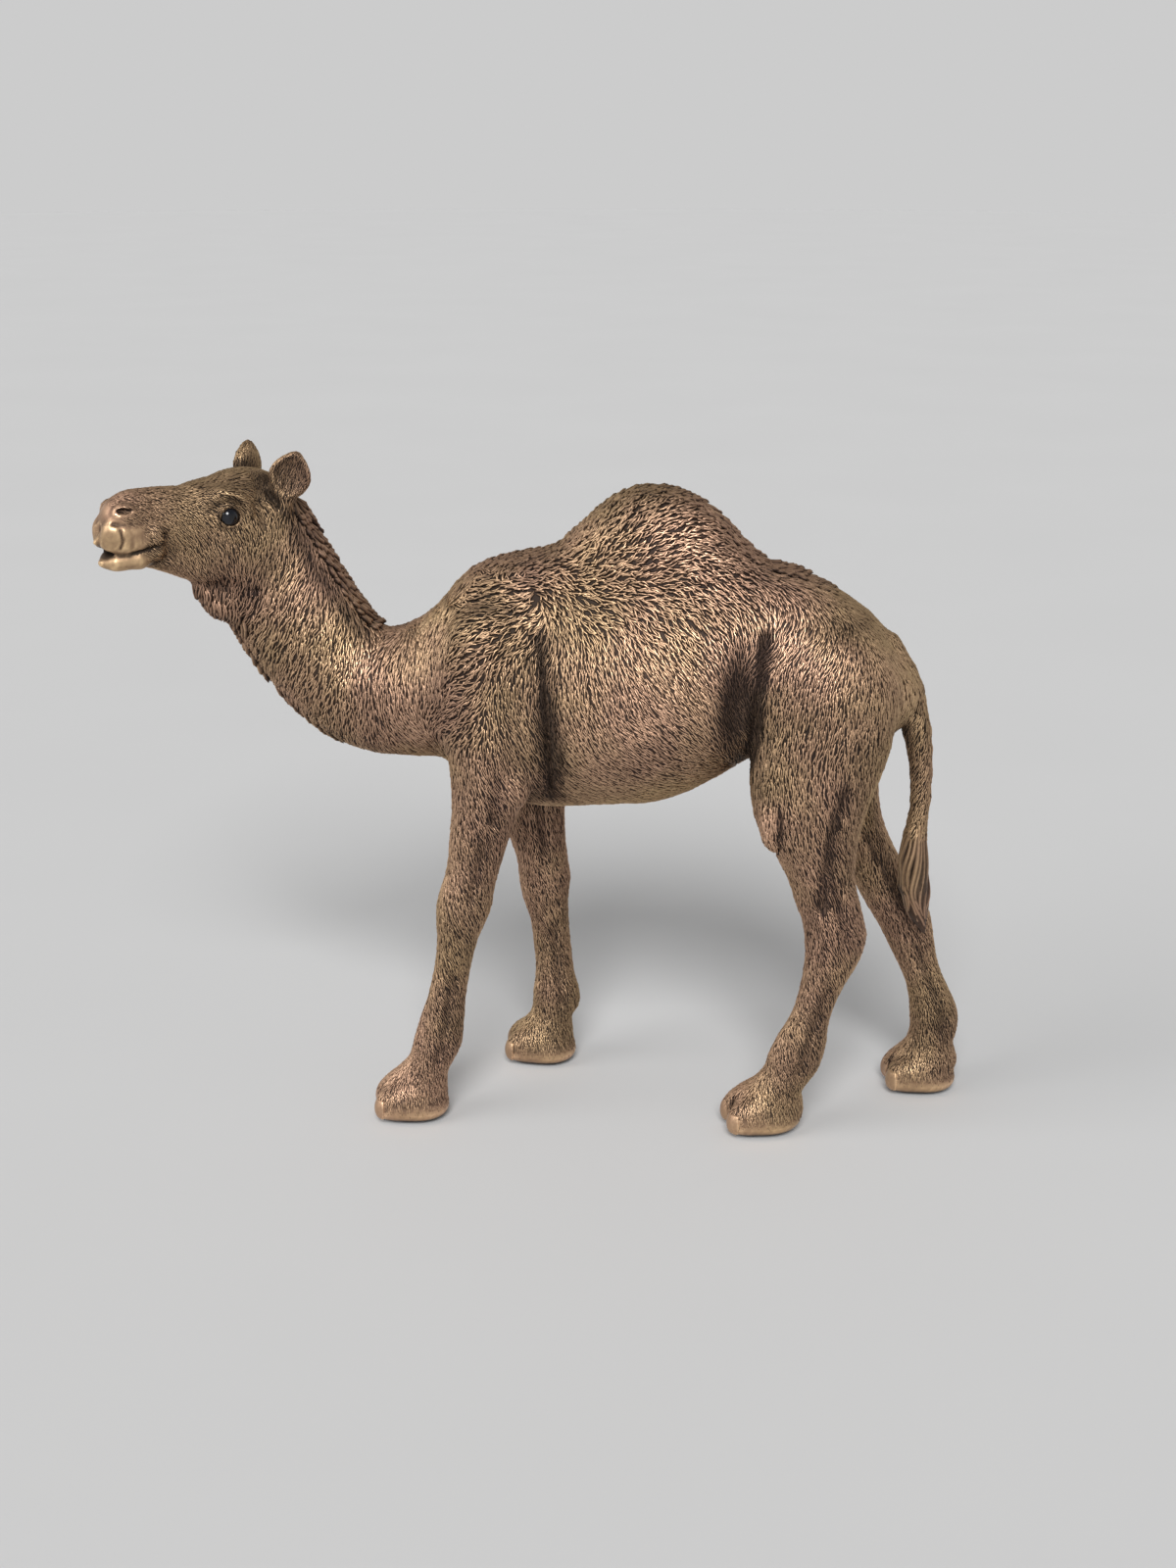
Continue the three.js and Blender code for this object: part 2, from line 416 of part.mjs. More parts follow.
// Closed surface where the field is zero, one vertex for each cell that it crosses
function surface(field, [x0, y0, z0], [x1, y1, z1], cell) {
  const low = [x0, y0, z0];
  const counts = [x1 - x0, y1 - y0, z1 - z0].map((length, c) => Math.ceil(length / cell[c]) + 1);
  const small = Math.min(...cell);
  const [nx, ny, nz] = counts;
  const index = (i, j, k) => (i * ny + j) * nz + k;
  const values = new Float64Array(nx * ny * nz);
  for (let i = 0; i < nx; i += 1) {
    for (let j = 0; j < ny; j += 1) {
      for (let k = 0; k < nz; k += 1) {
        const rim = i === 0 || j === 0 || k === 0 || i === nx - 1 || j === ny - 1 || k === nz - 1;
        const d = field([i, j, k].map((n, c) => low[c] + n * cell[c]));
        values[index(i, j, k)] = rim ? Math.max(d, small / 10) : d;
      }
    }
  }
  tidySigns(values, counts, index);
  const vertexOf = new Map();
  const points = [];
  for (let i = 0; i < nx - 1; i += 1) {
    for (let j = 0; j < ny - 1; j += 1) {
      for (let k = 0; k < nz - 1; k += 1) {
        const at = CORNERS.map(([a, b, c]) => values[index(i + a, j + b, k + c)]);
        const inside = at.filter((v) => v < 0).length;
        if (inside === 0 || inside === 8) continue;
        const sum = [0, 0, 0];
        let crossings = 0;
        for (let a = 0; a < 8; a += 1) {
          for (const bit of [1, 2, 4]) {
            const b = a | bit;
            if (b === a || at[a] < 0 === at[b] < 0) continue;
            const t = at[a] / (at[a] - at[b]);
            for (let c = 0; c < 3; c += 1) sum[c] += CORNERS[a][c] + t * (CORNERS[b][c] - CORNERS[a][c]);
            crossings += 1;
          }
        }
        vertexOf.set(index(i, j, k), points.length);
        points.push([i, j, k].map((n, c) => low[c] + (n + sum[c] / crossings) * cell[c]));
      }
    }
  }
  const settled = points.map((p) => settle(field, p, small));
  const faces = [];
  const quad = (a, b, c, d) => {
    const across = distance(settled[a], settled[c]) < distance(settled[b], settled[d]);
    faces.push(...(across ? [a, b, c, a, c, d] : [b, c, d, b, d, a]));
  };
  for (let i = 0; i < nx - 1; i += 1) {
    for (let j = 0; j < ny - 1; j += 1) {
      for (let k = 0; k < nz - 1; k += 1) {
        const here = values[index(i, j, k)] < 0;
        const back = (di, dj, dk) => vertexOf.get(index(i - di, j - dj, k - dk));
        const edges = [
          [j && k, index(i + 1, j, k), () => [back(0, 0, 0), back(0, 1, 0), back(0, 1, 1), back(0, 0, 1)]],
          [i && k, index(i, j + 1, k), () => [back(0, 0, 0), back(0, 0, 1), back(1, 0, 1), back(1, 0, 0)]],
          [i && j, index(i, j, k + 1), () => [back(0, 0, 0), back(1, 0, 0), back(1, 1, 0), back(0, 1, 0)]],
        ];
        for (const [within, other, ring] of edges) {
          if (within && here !== values[other] < 0) quad(...(here ? ring() : ring().reverse()));
        }
      }
    }
  }
  return new wasm.Manifold(new wasm.Mesh({
    numProp: 3,
    vertProperties: new Float32Array(settled.flat()),
    triVerts: new Uint32Array(faces),
  }));
}

const distance = (a, b) => Math.hypot(a[0] - b[0], a[1] - b[1], a[2] - b[2]);

// Moves a vertex along the slope of the field onto its zero surface, by less than a cell
function settle(field, start, cell) {
  const step = cell / 20;
  let p = start;
  for (let pass = 0; pass < 3; pass += 1) {
    const here = field(p);
    const slope = [0, 1, 2].map((c) => {
      const q = [...p];
      q[c] += step;
      return (field(q) - here) / step;
    });
    const steep = slope[0] ** 2 + slope[1] ** 2 + slope[2] ** 2;
    if (steep < 0.04) break;
    const move = clamp(here / steep, -cell / 4, cell / 4);
    p = p.map((v, c) => v - move * slope[c]);
  }
  return p;
}

// ---------------------------------------------------------------- cutters
function solid(geometry) {
  geometry.deleteAttribute('normal');
  geometry.deleteAttribute('uv');
  const merged = mergeVertices(geometry, 1e-4);
  return new wasm.Manifold(new wasm.Mesh({
    numProp: 3,
    vertProperties: merged.attributes.position.array,
    triVerts: new Uint32Array(merged.index.array),
  }));
}

function block(lo, hi) {
  const size = hi.map((v, i) => v - lo[i]);
  const geometry = new THREE.BoxGeometry(...size);
  geometry.translate(...lo.map((v, i) => v + size[i] / 2));
  return solid(geometry);
}

// Everything beyond a cut, in the direction of its normal, and everything before it
function beyond({ point, normal }, offset = HALF_GAP) {
  const geometry = new THREE.BoxGeometry(REACH, REACH, REACH);
  geometry.translate(0, 0, REACH / 2 + offset);
  const towards = new THREE.Vector3(...normal).normalize();
  geometry.applyQuaternion(new THREE.Quaternion().setFromUnitVectors(new THREE.Vector3(0, 0, 1), towards));
  geometry.translate(...point);
  return solid(geometry);
}
const before = ({ point, normal }) => beyond({ point, normal: normal.map((v) => -v) });

function ball(center, radii, segments = 16) {
  const geometry = new THREE.SphereGeometry(1, segments, Math.round(segments * 0.75));
  geometry.scale(...radii);
  geometry.rotateZ(HEAD_YAW - Math.PI / 2);
  geometry.translate(center.x, center.y, center.z);
  return solid(geometry);
}

// Solid that holds one leg
function legZone({ front, back, wideTop, archFront, archBack }, side, grow) {
  const radius = (archBack - archFront) / 2;
  const outline = new THREE.Shape();
  outline.moveTo(front - grow, ZONE_LOW - grow);
  outline.lineTo(back + grow, ZONE_LOW - grow);
  outline.lineTo(back + grow, wideTop + grow);
  outline.lineTo(archBack + grow, wideTop + grow);
  outline.lineTo(archBack + grow, ARCH_FOOT);
  outline.absarc((archFront + archBack) / 2, ARCH_FOOT, radius + grow, 0, Math.PI, false);
  outline.lineTo(archFront - grow, wideTop + grow);
  outline.lineTo(front - grow, wideTop + grow);
  outline.closePath();
  const depth = { depth: ZONE_DEPTH, bevelEnabled: false, curveSegments: 14 };
  const geometry = new THREE.ExtrudeGeometry(outline, depth);
  // the outline's x runs along y and its y along z; the depth runs outwards from the middle slab
  const basis = new THREE.Matrix4().makeBasis(
    new THREE.Vector3(0, 1, 0), new THREE.Vector3(0, 0, 1), new THREE.Vector3(1, 0, 0));
  geometry.applyMatrix4(basis);
  geometry.translate(side > 0 ? MIDDLE_SLAB - grow : grow - ZONE_DEPTH - MIDDLE_SLAB, 0, 0);
  return solid(geometry);
}

// ---------------------------------------------------------------- pieces
const BRONZE = { color: 0x7d6756, metalness: 0.85, roughness: 0.45 };
const DARK_GLASS = { color: 0x0c1016, metalness: 0, roughness: 0.08 };
const figure = new THREE.Group();

function piece(name, shape, finish = BRONZE) {
  const { vertProperties, triVerts } = shape.getMesh();
  const geometry = new THREE.BufferGeometry();
  geometry.setAttribute('position', new THREE.BufferAttribute(new Float32Array(vertProperties), 3));
  geometry.setIndex(new THREE.BufferAttribute(new Uint32Array(triVerts), 1));
  geometry.computeVertexNormals();
  const mesh = new THREE.Mesh(geometry, new THREE.MeshStandardMaterial(finish));
  mesh.name = name;
  figure.add(mesh);
}

const meshed = (field, name, cell = CELL[name]) => surface(field, ...EXTENT[name], cell);

function buildHead() {
  const skin = meshed(head, 'head').intersect(beyond(THROAT_CUT));
  const loose = meshed((p) => head(p) - EAR_GAP, 'head');
  const corner = fromHead(MOUTH_BACK.s, 0, MOUTH_BACK.v);
  const along = fromHead(MOUTH_FRONT.s, 0, MOUTH_FRONT.v).sub(corner);
  const mouthCut = { point: corner.toArray(), normal: along.cross(new THREE.Vector3(...LEFT)).toArray() };
  if (mouthCut.normal[2] > 0) mouthCut.normal = mouthCut.normal.map((v) => -v);
  const rearCut = { point: fromHead(JAW_REAR, 0, 0).toArray(), normal: FORWARD };
  const bite = ball(fromHead(BITE.s, 0, BITE.v), BITE.radii, 12);
  const jaw = skin.intersect(beyond(mouthCut)).intersect(beyond(rearCut)).subtract(bite);
  const chin = beyond(mouthCut, -HALF_GAP).intersect(beyond(rearCut, -HALF_GAP));
  let skull = skin.subtract(chin).subtract(bite);
  for (const side of [1, -1]) {
    const label = side > 0 ? 'left' : 'right';
    const eye = fromHead(EYE.s, side * EYE.w, EYE.v);
    const nostril = fromHead(NOSTRIL.s, side * NOSTRIL.w, NOSTRIL.v);
    skull = skull.subtract(ball(eye, Array(3).fill(EYE.radius + GAP), 12));
    skull = skull.subtract(ball(nostril, NOSTRIL.radii, 10));
    piece(`eye_${label}`, ball(eye, Array(3).fill(EYE.radius), 10), DARK_GLASS);
    const root = fromHead(EAR.s[side], side * EAR.w, EAR.v);
    const lo = [root.x - 11, root.y - 11, root.z - 8];
    const hi = [root.x + 11, root.y + 11, root.z + 20];
    piece(`ear_${label}`, surface((p) => ear(p, side), lo, hi, CELL.ear).subtract(loose));
  }
  piece('head', skull);
  piece('lower_jaw', jaw);
}

function buildNeck() {
  piece('neck', meshed(body, 'neck').intersect(before(THROAT_CUT)).intersect(beyond(SHOULDER_CUT)));
}

// Upright slice down the middle that holds the tail
const tailSlab = (grow) => block([-MIDDLE_SLAB - grow, 60, 50], [MIDDLE_SLAB + grow, 130, 200]);

function buildTrunk() {
  const dock = beyond(DOCK_CUT, -HALF_GAP).intersect(tailSlab(HALF_GAP));
  let barrel = meshed(body, 'trunk').intersect(before(SHOULDER_CUT)).intersect(before(HUMP_CUT));
  barrel = barrel.subtract(dock);
  for (const side of [1, -1]) {
    barrel = barrel.subtract(legZone(FORE_ZONE, side, GAP)).subtract(legZone(HIND_ZONE, side, GAP));
  }
  piece('trunk', barrel);
  piece('hump', meshed(body, 'hump').intersect(beyond(HUMP_CUT)));
}

function buildTail() {
  const upper = meshed(body, 'tail').intersect(beyond(DOCK_CUT)).intersect(before(TASSEL_CUT));
  piece('tail', upper.intersect(tailSlab(-HALF_GAP)));
  piece('tail_tassel', meshed(tail, 'tassel', CELL.tail).intersect(beyond(TASSEL_CUT)));
}

const GROUND = block([-REACH / 2, -REACH / 2, -20], [REACH / 2, REACH / 2, 0]);

function buildLegs() {
  for (const name of Object.keys(LEGS)) {
    const [cx, tip, turn] = FEET[name];
    const side = Math.sign(cx);
    const fore = name.startsWith('fore');
    const [lo, hi] = EXTENT[fore ? 'foreleg' : 'hindleg'].map((corner) => [...corner]);
    [lo[0], hi[0]] = side > 0 ? [lo[0], hi[0]] : [-hi[0], -lo[0]];
    const zone = legZone(fore ? FORE_ZONE : HIND_ZONE, side, 0);
    piece(name, surface(body, lo, hi, CELL.leg).intersect(zone).intersect(beyond(FETLOCK_CUT)));
    const around = surface(body, [cx - 13, tip - 5, -4], [cx + 13, tip + FOOT_LENGTH + 9, 24], CELL.foot);
    const { halfWidth, length, top } = TOE_SLOT;
    const slot = block([-halfWidth, -3 - FOOT_MIDDLE, -5], [halfWidth, length - FOOT_MIDDLE, top])
      .rotate([0, 0, turn]).translate([cx, tip + FOOT_MIDDLE, 0]);
    const foot = around.intersect(before(FETLOCK_CUT)).subtract(GROUND).subtract(slot);
    piece(name.replace('leg', 'foot'), foot);
  }
}

buildHead();
buildNeck();
buildTrunk();
buildTail();
buildLegs();

const box = new THREE.Box3().setFromObject(figure);
figure.position.set(-(box.min.x + box.max.x) / 2, -(box.min.y + box.max.y) / 2, -box.min.z);
figure.updateMatrixWorld(true);

export default figure;
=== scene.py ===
"""Cast dromedary statuette in an antique bronze finish.

One skin is meshed from an implicit body, whose named sizes are in millimetres with the head towards -Y,
the animal's left side towards +X and the soles at z = 0. The modelled hair is laid over it as thin solid
strokes that follow the lie of the coat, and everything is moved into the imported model's frame at the end.
"""

import math

import bpy
import numpy as np
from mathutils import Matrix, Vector
from mathutils.kdtree import KDTree


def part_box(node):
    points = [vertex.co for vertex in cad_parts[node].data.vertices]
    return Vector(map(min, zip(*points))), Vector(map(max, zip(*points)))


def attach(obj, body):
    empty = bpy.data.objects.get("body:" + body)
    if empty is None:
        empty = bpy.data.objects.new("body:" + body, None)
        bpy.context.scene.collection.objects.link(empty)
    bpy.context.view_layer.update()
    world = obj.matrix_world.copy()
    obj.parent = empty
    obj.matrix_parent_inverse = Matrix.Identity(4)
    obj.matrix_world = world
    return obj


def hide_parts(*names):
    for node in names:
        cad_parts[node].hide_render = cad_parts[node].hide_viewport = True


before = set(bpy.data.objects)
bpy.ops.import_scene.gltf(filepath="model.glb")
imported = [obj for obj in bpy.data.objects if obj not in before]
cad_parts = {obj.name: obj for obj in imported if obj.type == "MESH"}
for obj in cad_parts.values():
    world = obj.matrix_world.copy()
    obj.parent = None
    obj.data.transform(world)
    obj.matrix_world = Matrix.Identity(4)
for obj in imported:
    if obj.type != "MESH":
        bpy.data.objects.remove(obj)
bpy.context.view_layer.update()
rng = np.random.default_rng(7)

MM = 0.001
MIDDLE_SLAB = 6.0              # half width of the trunk's strip between the legs, where each leg node starts
SHOULDER_CUT = -49.85          # y of the trunk node's front face
SHIFT = np.array([
    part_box("foreleg_left")[0].x / MM - MIDDLE_SLAB,
    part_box("trunk")[0].y / MM - SHOULDER_CUT,
    0.0,
])                             # from the figure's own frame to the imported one

# ---------------------------------------------------------------- driving dimensions, millimetres
# Trunk along y: y, top, underside, half width, height of the widest line
TRUNK = [
    (-68, 136, 126, 3, 131), (-62, 143, 119, 9, 131), (-56, 145.5, 116, 14, 131),
    (-50, 149.4, 114.2, 17, 131),
    (-45, 156.8, 113.8, 18.5, 131), (-40, 164, 108.7, 20.5, 132), (-35, 168.5, 103.8, 22, 133),
    (-30, 171.2, 100.7, 23.5, 132), (-20, 174.2, 97.6, 25.5, 130), (-10, 175.2, 96.8, 27, 128),
    (0, 175.4, 97.8, 28.5, 127), (10, 175, 98.8, 29.5, 127), (20, 175, 99.8, 29.5, 128),
    (30, 174.5, 103.1, 28.5, 131), (40, 173.6, 108.7, 26.5, 135), (50, 173, 115, 24, 139),
    (60, 171.8, 118, 22.5, 141), (70, 167.8, 119, 21.5, 141), (80, 161.5, 119, 19, 140),
    (87, 155, 121, 15.5, 139), (92, 148.6, 124, 12, 138), (96, 142.5, 128, 8, 137), (99, 138, 132, 3, 136),
]
# Hump along y: y, top, half width at its root
HUMP = [
    (-24, 166, 12), (-16, 172, 14), (-10, 176, 15.5), (-5, 180.2, 16.5), (0, 184.8, 17.5), (5, 189.4, 18.2),
    (10, 192.8, 18.8), (15, 194.4, 19), (20, 194.8, 19), (25, 194.4, 18.6), (30, 192.6, 18),
    (35, 189.8, 17.2),
    (40, 185.6, 16.2), (45, 180.2, 15), (50, 175.6, 13.5), (56, 170, 11.5), (62, 161, 9),
]
HUMP_ROOT = 158.0
# Neck axis: step, x, y, z, half depth, half width
NECK = [
    (0, 0, -40, 134.4, 21.6, 19), (1, 0, -52, 131, 19.8, 17.5), (2, 0, -65, 130.7, 19.3, 15.5),
    (3, 0, -76.7, 137.2, 18.6, 14.3), (4, 0, -85, 147.3, 18.6, 13.8), (5, 0, -91.8, 158.2, 18.5, 13.4),
    (6, 0.2, -97, 168, 18, 13), (7, 0.3, -101, 177, 15.4, 12),
]
NECK_STEPS = 20
# Legs upwards: z, front y, back y, centre x, half width
LEGS = {
    "foreleg_left": [
        (0, -61, -44, 24, 6.8), (3, -62.6, -42, 24, 7.8), (6, -62.6, -41, 24, 8.2),
        (10, -61.6, -40.8, 24, 7.9),
        (13, -59.4, -40.8, 23.9, 7.2), (16, -56, -40.3, 23.9, 6.5), (20, -52.6, -38.2, 23.8, 6.1),
        (25, -51, -36, 23.7, 6.1), (30, -49.6, -35.4, 23.5, 5.8), (35, -48, -35, 23.3, 5.4),
        (40, -46.3, -34.6, 23.1, 5.2), (50, -44, -33, 22.6, 5.4), (55, -43.3, -31.9, 22.4, 5.8),
        (60, -43, -30.4, 22.2, 6.5), (65, -43.2, -28.2, 22, 7.1), (70, -43, -26.4, 21.7, 7.4),
        (75, -41.8, -25.6, 21.5, 7.3), (80, -40.2, -24.5, 21.2, 7.2), (85, -39.4, -23, 20.8, 7.5),
        (90, -39, -21.5, 20.4, 8), (100, -38.2, -18, 19.5, 9.2), (108, -38.4, -16, 18.8, 9.8),
        (118, -39.4, -15.5, 18, 10.4), (128, -41, -16, 17, 10.6), (140, -41, -18, 15, 9.6),
        (150, -38, -21, 12.5, 8), (158, -34, -26, 10, 5),
    ],
    "foreleg_right": [
        (0, -28.2, -10.5, -22, 6.8), (3, -29.6, -8.8, -22, 7.8), (6, -29.4, -8, -22, 8.2),
        (10, -27.6, -8.2, -22, 7.8), (13, -25, -8.4, -22, 7), (16, -22.4, -8.4, -22, 6.2),
        (20, -21.3, -6.1, -22, 6), (25, -21, -6, -22, 6), (30, -20.3, -7.4, -21.9, 5.6),
        (35, -20.2, -8.1, -21.8, 5.2), (40, -20.6, -8.6, -21.7, 5.1), (50, -21.7, -9.4, -21.4, 5.6),
        (55, -23.3, -9.5, -21.2, 6.2), (60, -24.6, -9.2, -21, 6.8), (65, -25.2, -8.7, -20.9, 7.1),
        (70, -25.6, -9.4, -20.7, 7.2), (75, -27, -10, -20.5, 7.1), (80, -28.6, -10.3, -20.3, 7.2),
        (85, -29.6, -10.4, -20, 7.5), (90, -30.8, -10.4, -19.8, 8), (100, -33.4, -10.4, -19.2, 9.2),
        (108, -35.6, -11.5, -18.6, 9.8), (118, -38, -12.8, -18, 10.4), (128, -40, -15, -17, 10.6),
        (140, -41, -18, -15, 9.6), (150, -38, -21, -12.5, 8), (158, -34, -26, -10, 5),
    ],
    "hindleg_left": [
        (0, 48.6, 66.2, 18, 6.8), (3, 46.8, 68.2, 18, 7.8), (6, 46, 69, 18, 8.2), (10, 46.6, 68.8, 18, 7.9),
        (13, 48.8, 68.4, 18, 7.3), (16, 53, 69.8, 18, 6.6), (20, 56.4, 72.6, 18, 6.3),
        (25, 58, 74.4, 18, 6.3),
        (30, 60, 75.4, 18, 6), (35, 62.7, 75.7, 18, 5.6), (40, 65, 76.7, 17.9, 5.3),
        (45, 66.3, 78.4, 17.8, 5.3),
        (50, 67.3, 80.6, 17.7, 5.5), (55, 67.9, 83.2, 17.6, 5.9), (60, 68, 85.2, 17.4, 6.3),
        (65, 67.6, 86, 17.2, 6.6), (70, 66.5, 85, 17, 6.6), (75, 64.5, 83.7, 16.8, 6.8),
        (80, 63, 82.3, 16.6, 7.3), (85, 60.7, 81.8, 16.4, 8.1), (90, 57.9, 82, 16.2, 9),
        (95, 54.3, 82.6, 16, 9.8), (100, 52.1, 83.6, 15.7, 10.5), (108, 50.5, 86, 15.2, 11.3),
        (118, 50.1, 89.5, 14.5, 12), (128, 51, 91.5, 13.7, 12.4), (140, 54, 91.5, 11.6, 11.6),
        (150, 58, 88, 9, 9), (158, 64, 82, 7, 5),
    ],
    "hindleg_right": [
        (0, 95.8, 110.5, -18, 6.8), (3, 94, 113, -18, 7.8), (6, 93.6, 115, -18, 8.2),
        (10, 95, 116.2, -18, 7.8),
        (13, 97, 115.6, -18, 7.1), (16, 99.6, 114.8, -18, 6.4), (20, 100.9, 115.6, -18, 6.2),
        (25, 100.7, 115.9, -18, 6.2), (30, 100.3, 114.6, -18, 5.9), (35, 99.3, 112.2, -18, 5.5),
        (40, 97.5, 109.8, -17.9, 5.3), (45, 95, 108.2, -17.8, 5.3), (50, 92.5, 107.2, -17.7, 5.5),
        (55, 90, 106.4, -17.6, 5.9), (60, 87, 105.2, -17.4, 6.3), (65, 84, 102.4, -17.2, 6.6),
        (70, 81.4, 99.6, -17, 6.6), (75, 79, 96.6, -16.8, 6.8), (80, 76.4, 94, -16.6, 7.3),
        (85, 73.6, 91.6, -16.4, 8.1), (90, 70.6, 89.6, -16.2, 9), (95, 67.4, 88.4, -16, 9.8),
        (100, 64.2, 87.8, -15.7, 10.5), (108, 60, 88, -15.2, 11.3), (118, 56, 90, -14.5, 12),
        (128, 54, 91.5, -13.7, 12.4), (140, 55, 91.5, -11.6, 11.6), (150, 58, 88, -9, 9),
        (158, 64, 82, -7, 5),
    ],
}
LEG_TOP, LEG_SINK, LEAN = 158.0, 3.0, 0.93
SOLE_ROUND = 4.5               # rounding of the feet's lower edges
FEET = {                       # x of the middle, y of the toe tips, degrees that the toes turn towards +X
    "foreleg_left": (24, -63, 11), "foreleg_right": (-22, -29.8, 4),
    "hindleg_left": (18, 44.8, 17), "hindleg_right": (-18, 93.4, 10),
}
FOOT_MIDDLE = 13.5             # from the toe tips back to the middle of the pad
# Tail and its tuft: y, z, radius, down the middle plane
TAIL = [
    (88, 149, 5), (93.2, 141, 4.4), (96, 133, 4.2), (98.2, 124.3, 4.1), (99.4, 118, 3.6), (100.1, 111, 3.2),
    (100.3, 103, 2.95), (99.8, 97, 2.8), (99.2, 91, 3.5), (99, 84, 4.3), (99.5, 75, 4.4), (101.2, 67, 3.2),
    (103.2, 60.5, 0.9),
]
TASSEL_TOP, TASSEL_LOW = 95.0, 60.5    # heights where the tuft's long strands start and end
TAIL_FROM, TAIL_REACH, TAIL_FREE = 93.0, 6.6, 145.0     # least y, greatest x and greatest z of the free tail
# Head frame: s forward from between the eyes, w out to the animal's left, v up
HEAD_YAW = math.radians(43)
HEAD_AT = (10.6, -109.9, 186.0)
# Skull and jaw along s: s, top, underside, half width, height of the widest line
SKULL = [
    (-27, 0, -16, 7, -6), (-21, 6.8, -18, 10.6, -5), (-16, 9.8, -19, 11.6, -4),
    (-11, 11.2, -19, 11.9, -3.5),
    (-5, 11.1, -19, 11.7, -3), (0, 10.2, -18.5, 11, -3), (5, 9.2, -17, 9.9, -3.5), (10, 8.7, -15, 8.8, -4),
    (15, 8.9, -13, 7.9, -4), (20, 9.0, -11.5, 7.2, -3.5), (25, 8.7, -10, 6.8, -3), (29, 7.3, -9, 6.2, -2.5),
    (33, 4, -8, 4.6, -2.5), (35.6, 0.5, -6, 2.2, -3),
]
JAW = [
    (-15, -4, -19.6, 8.6, -12), (-8, -5, -21.6, 9.3, -13), (0, -6, -21.5, 9, -13),
    (6, -7, -20.6, 8.1, -13.5),
    (11, -7.5, -18.8, 7, -13), (16, -8, -16.5, 6, -12.5), (21, -8.4, -14.5, 5.2, -12),
    (26, -8.8, -13.3, 4.9, -11.6), (31, -9.4, -13.3, 4.5, -11.8), (34.5, -10.4, -12.8, 3.2, -11.8),
    (36.4, -11, -12, 1.1, -11.5),
]
# Line between the lips: s, w, v from the front to the corner
MOUTH = [
    (37, 0, -8.2), (35.6, 3.2, -8.6), (33.7, 5.2, -9.0), (30.3, 6.8, -8.5), (25.4, 7.3, -7.4),
    (21.8, 7.6, -6.3),
    (20.2, 7.8, -4.6), (19.4, 7.9, -3.3),
]
LIPS = [(33.6, 3.0, -6.1), (30, 5.2, -6.2), (25.6, 6.0, -5.4), (22.0, 6.3, -4.4)]
HEAD_LOW, HEAD_REAR, BEARD_LEVEL = 150.0, -80.0, 156.0  # z below the head, y behind it, z of the beard's root
EYE = (0.0, 9.6, 0.0)
EYE_RADIUS = 3.1
EARS = {1: (-17.0, 10.8, 2.6), -1: (-16.0, -10.8, 2.6)}        # by side: 1 left, -1 right
EAR_LEAN = {1: 0.3, -1: 0.17}
EAR_HEIGHT = 15.4
EAR_REACH, EAR_LOW, EAR_STROKE = 9.0, 187.0, 0.5        # room round an ear, its lowest z, its strokes' size

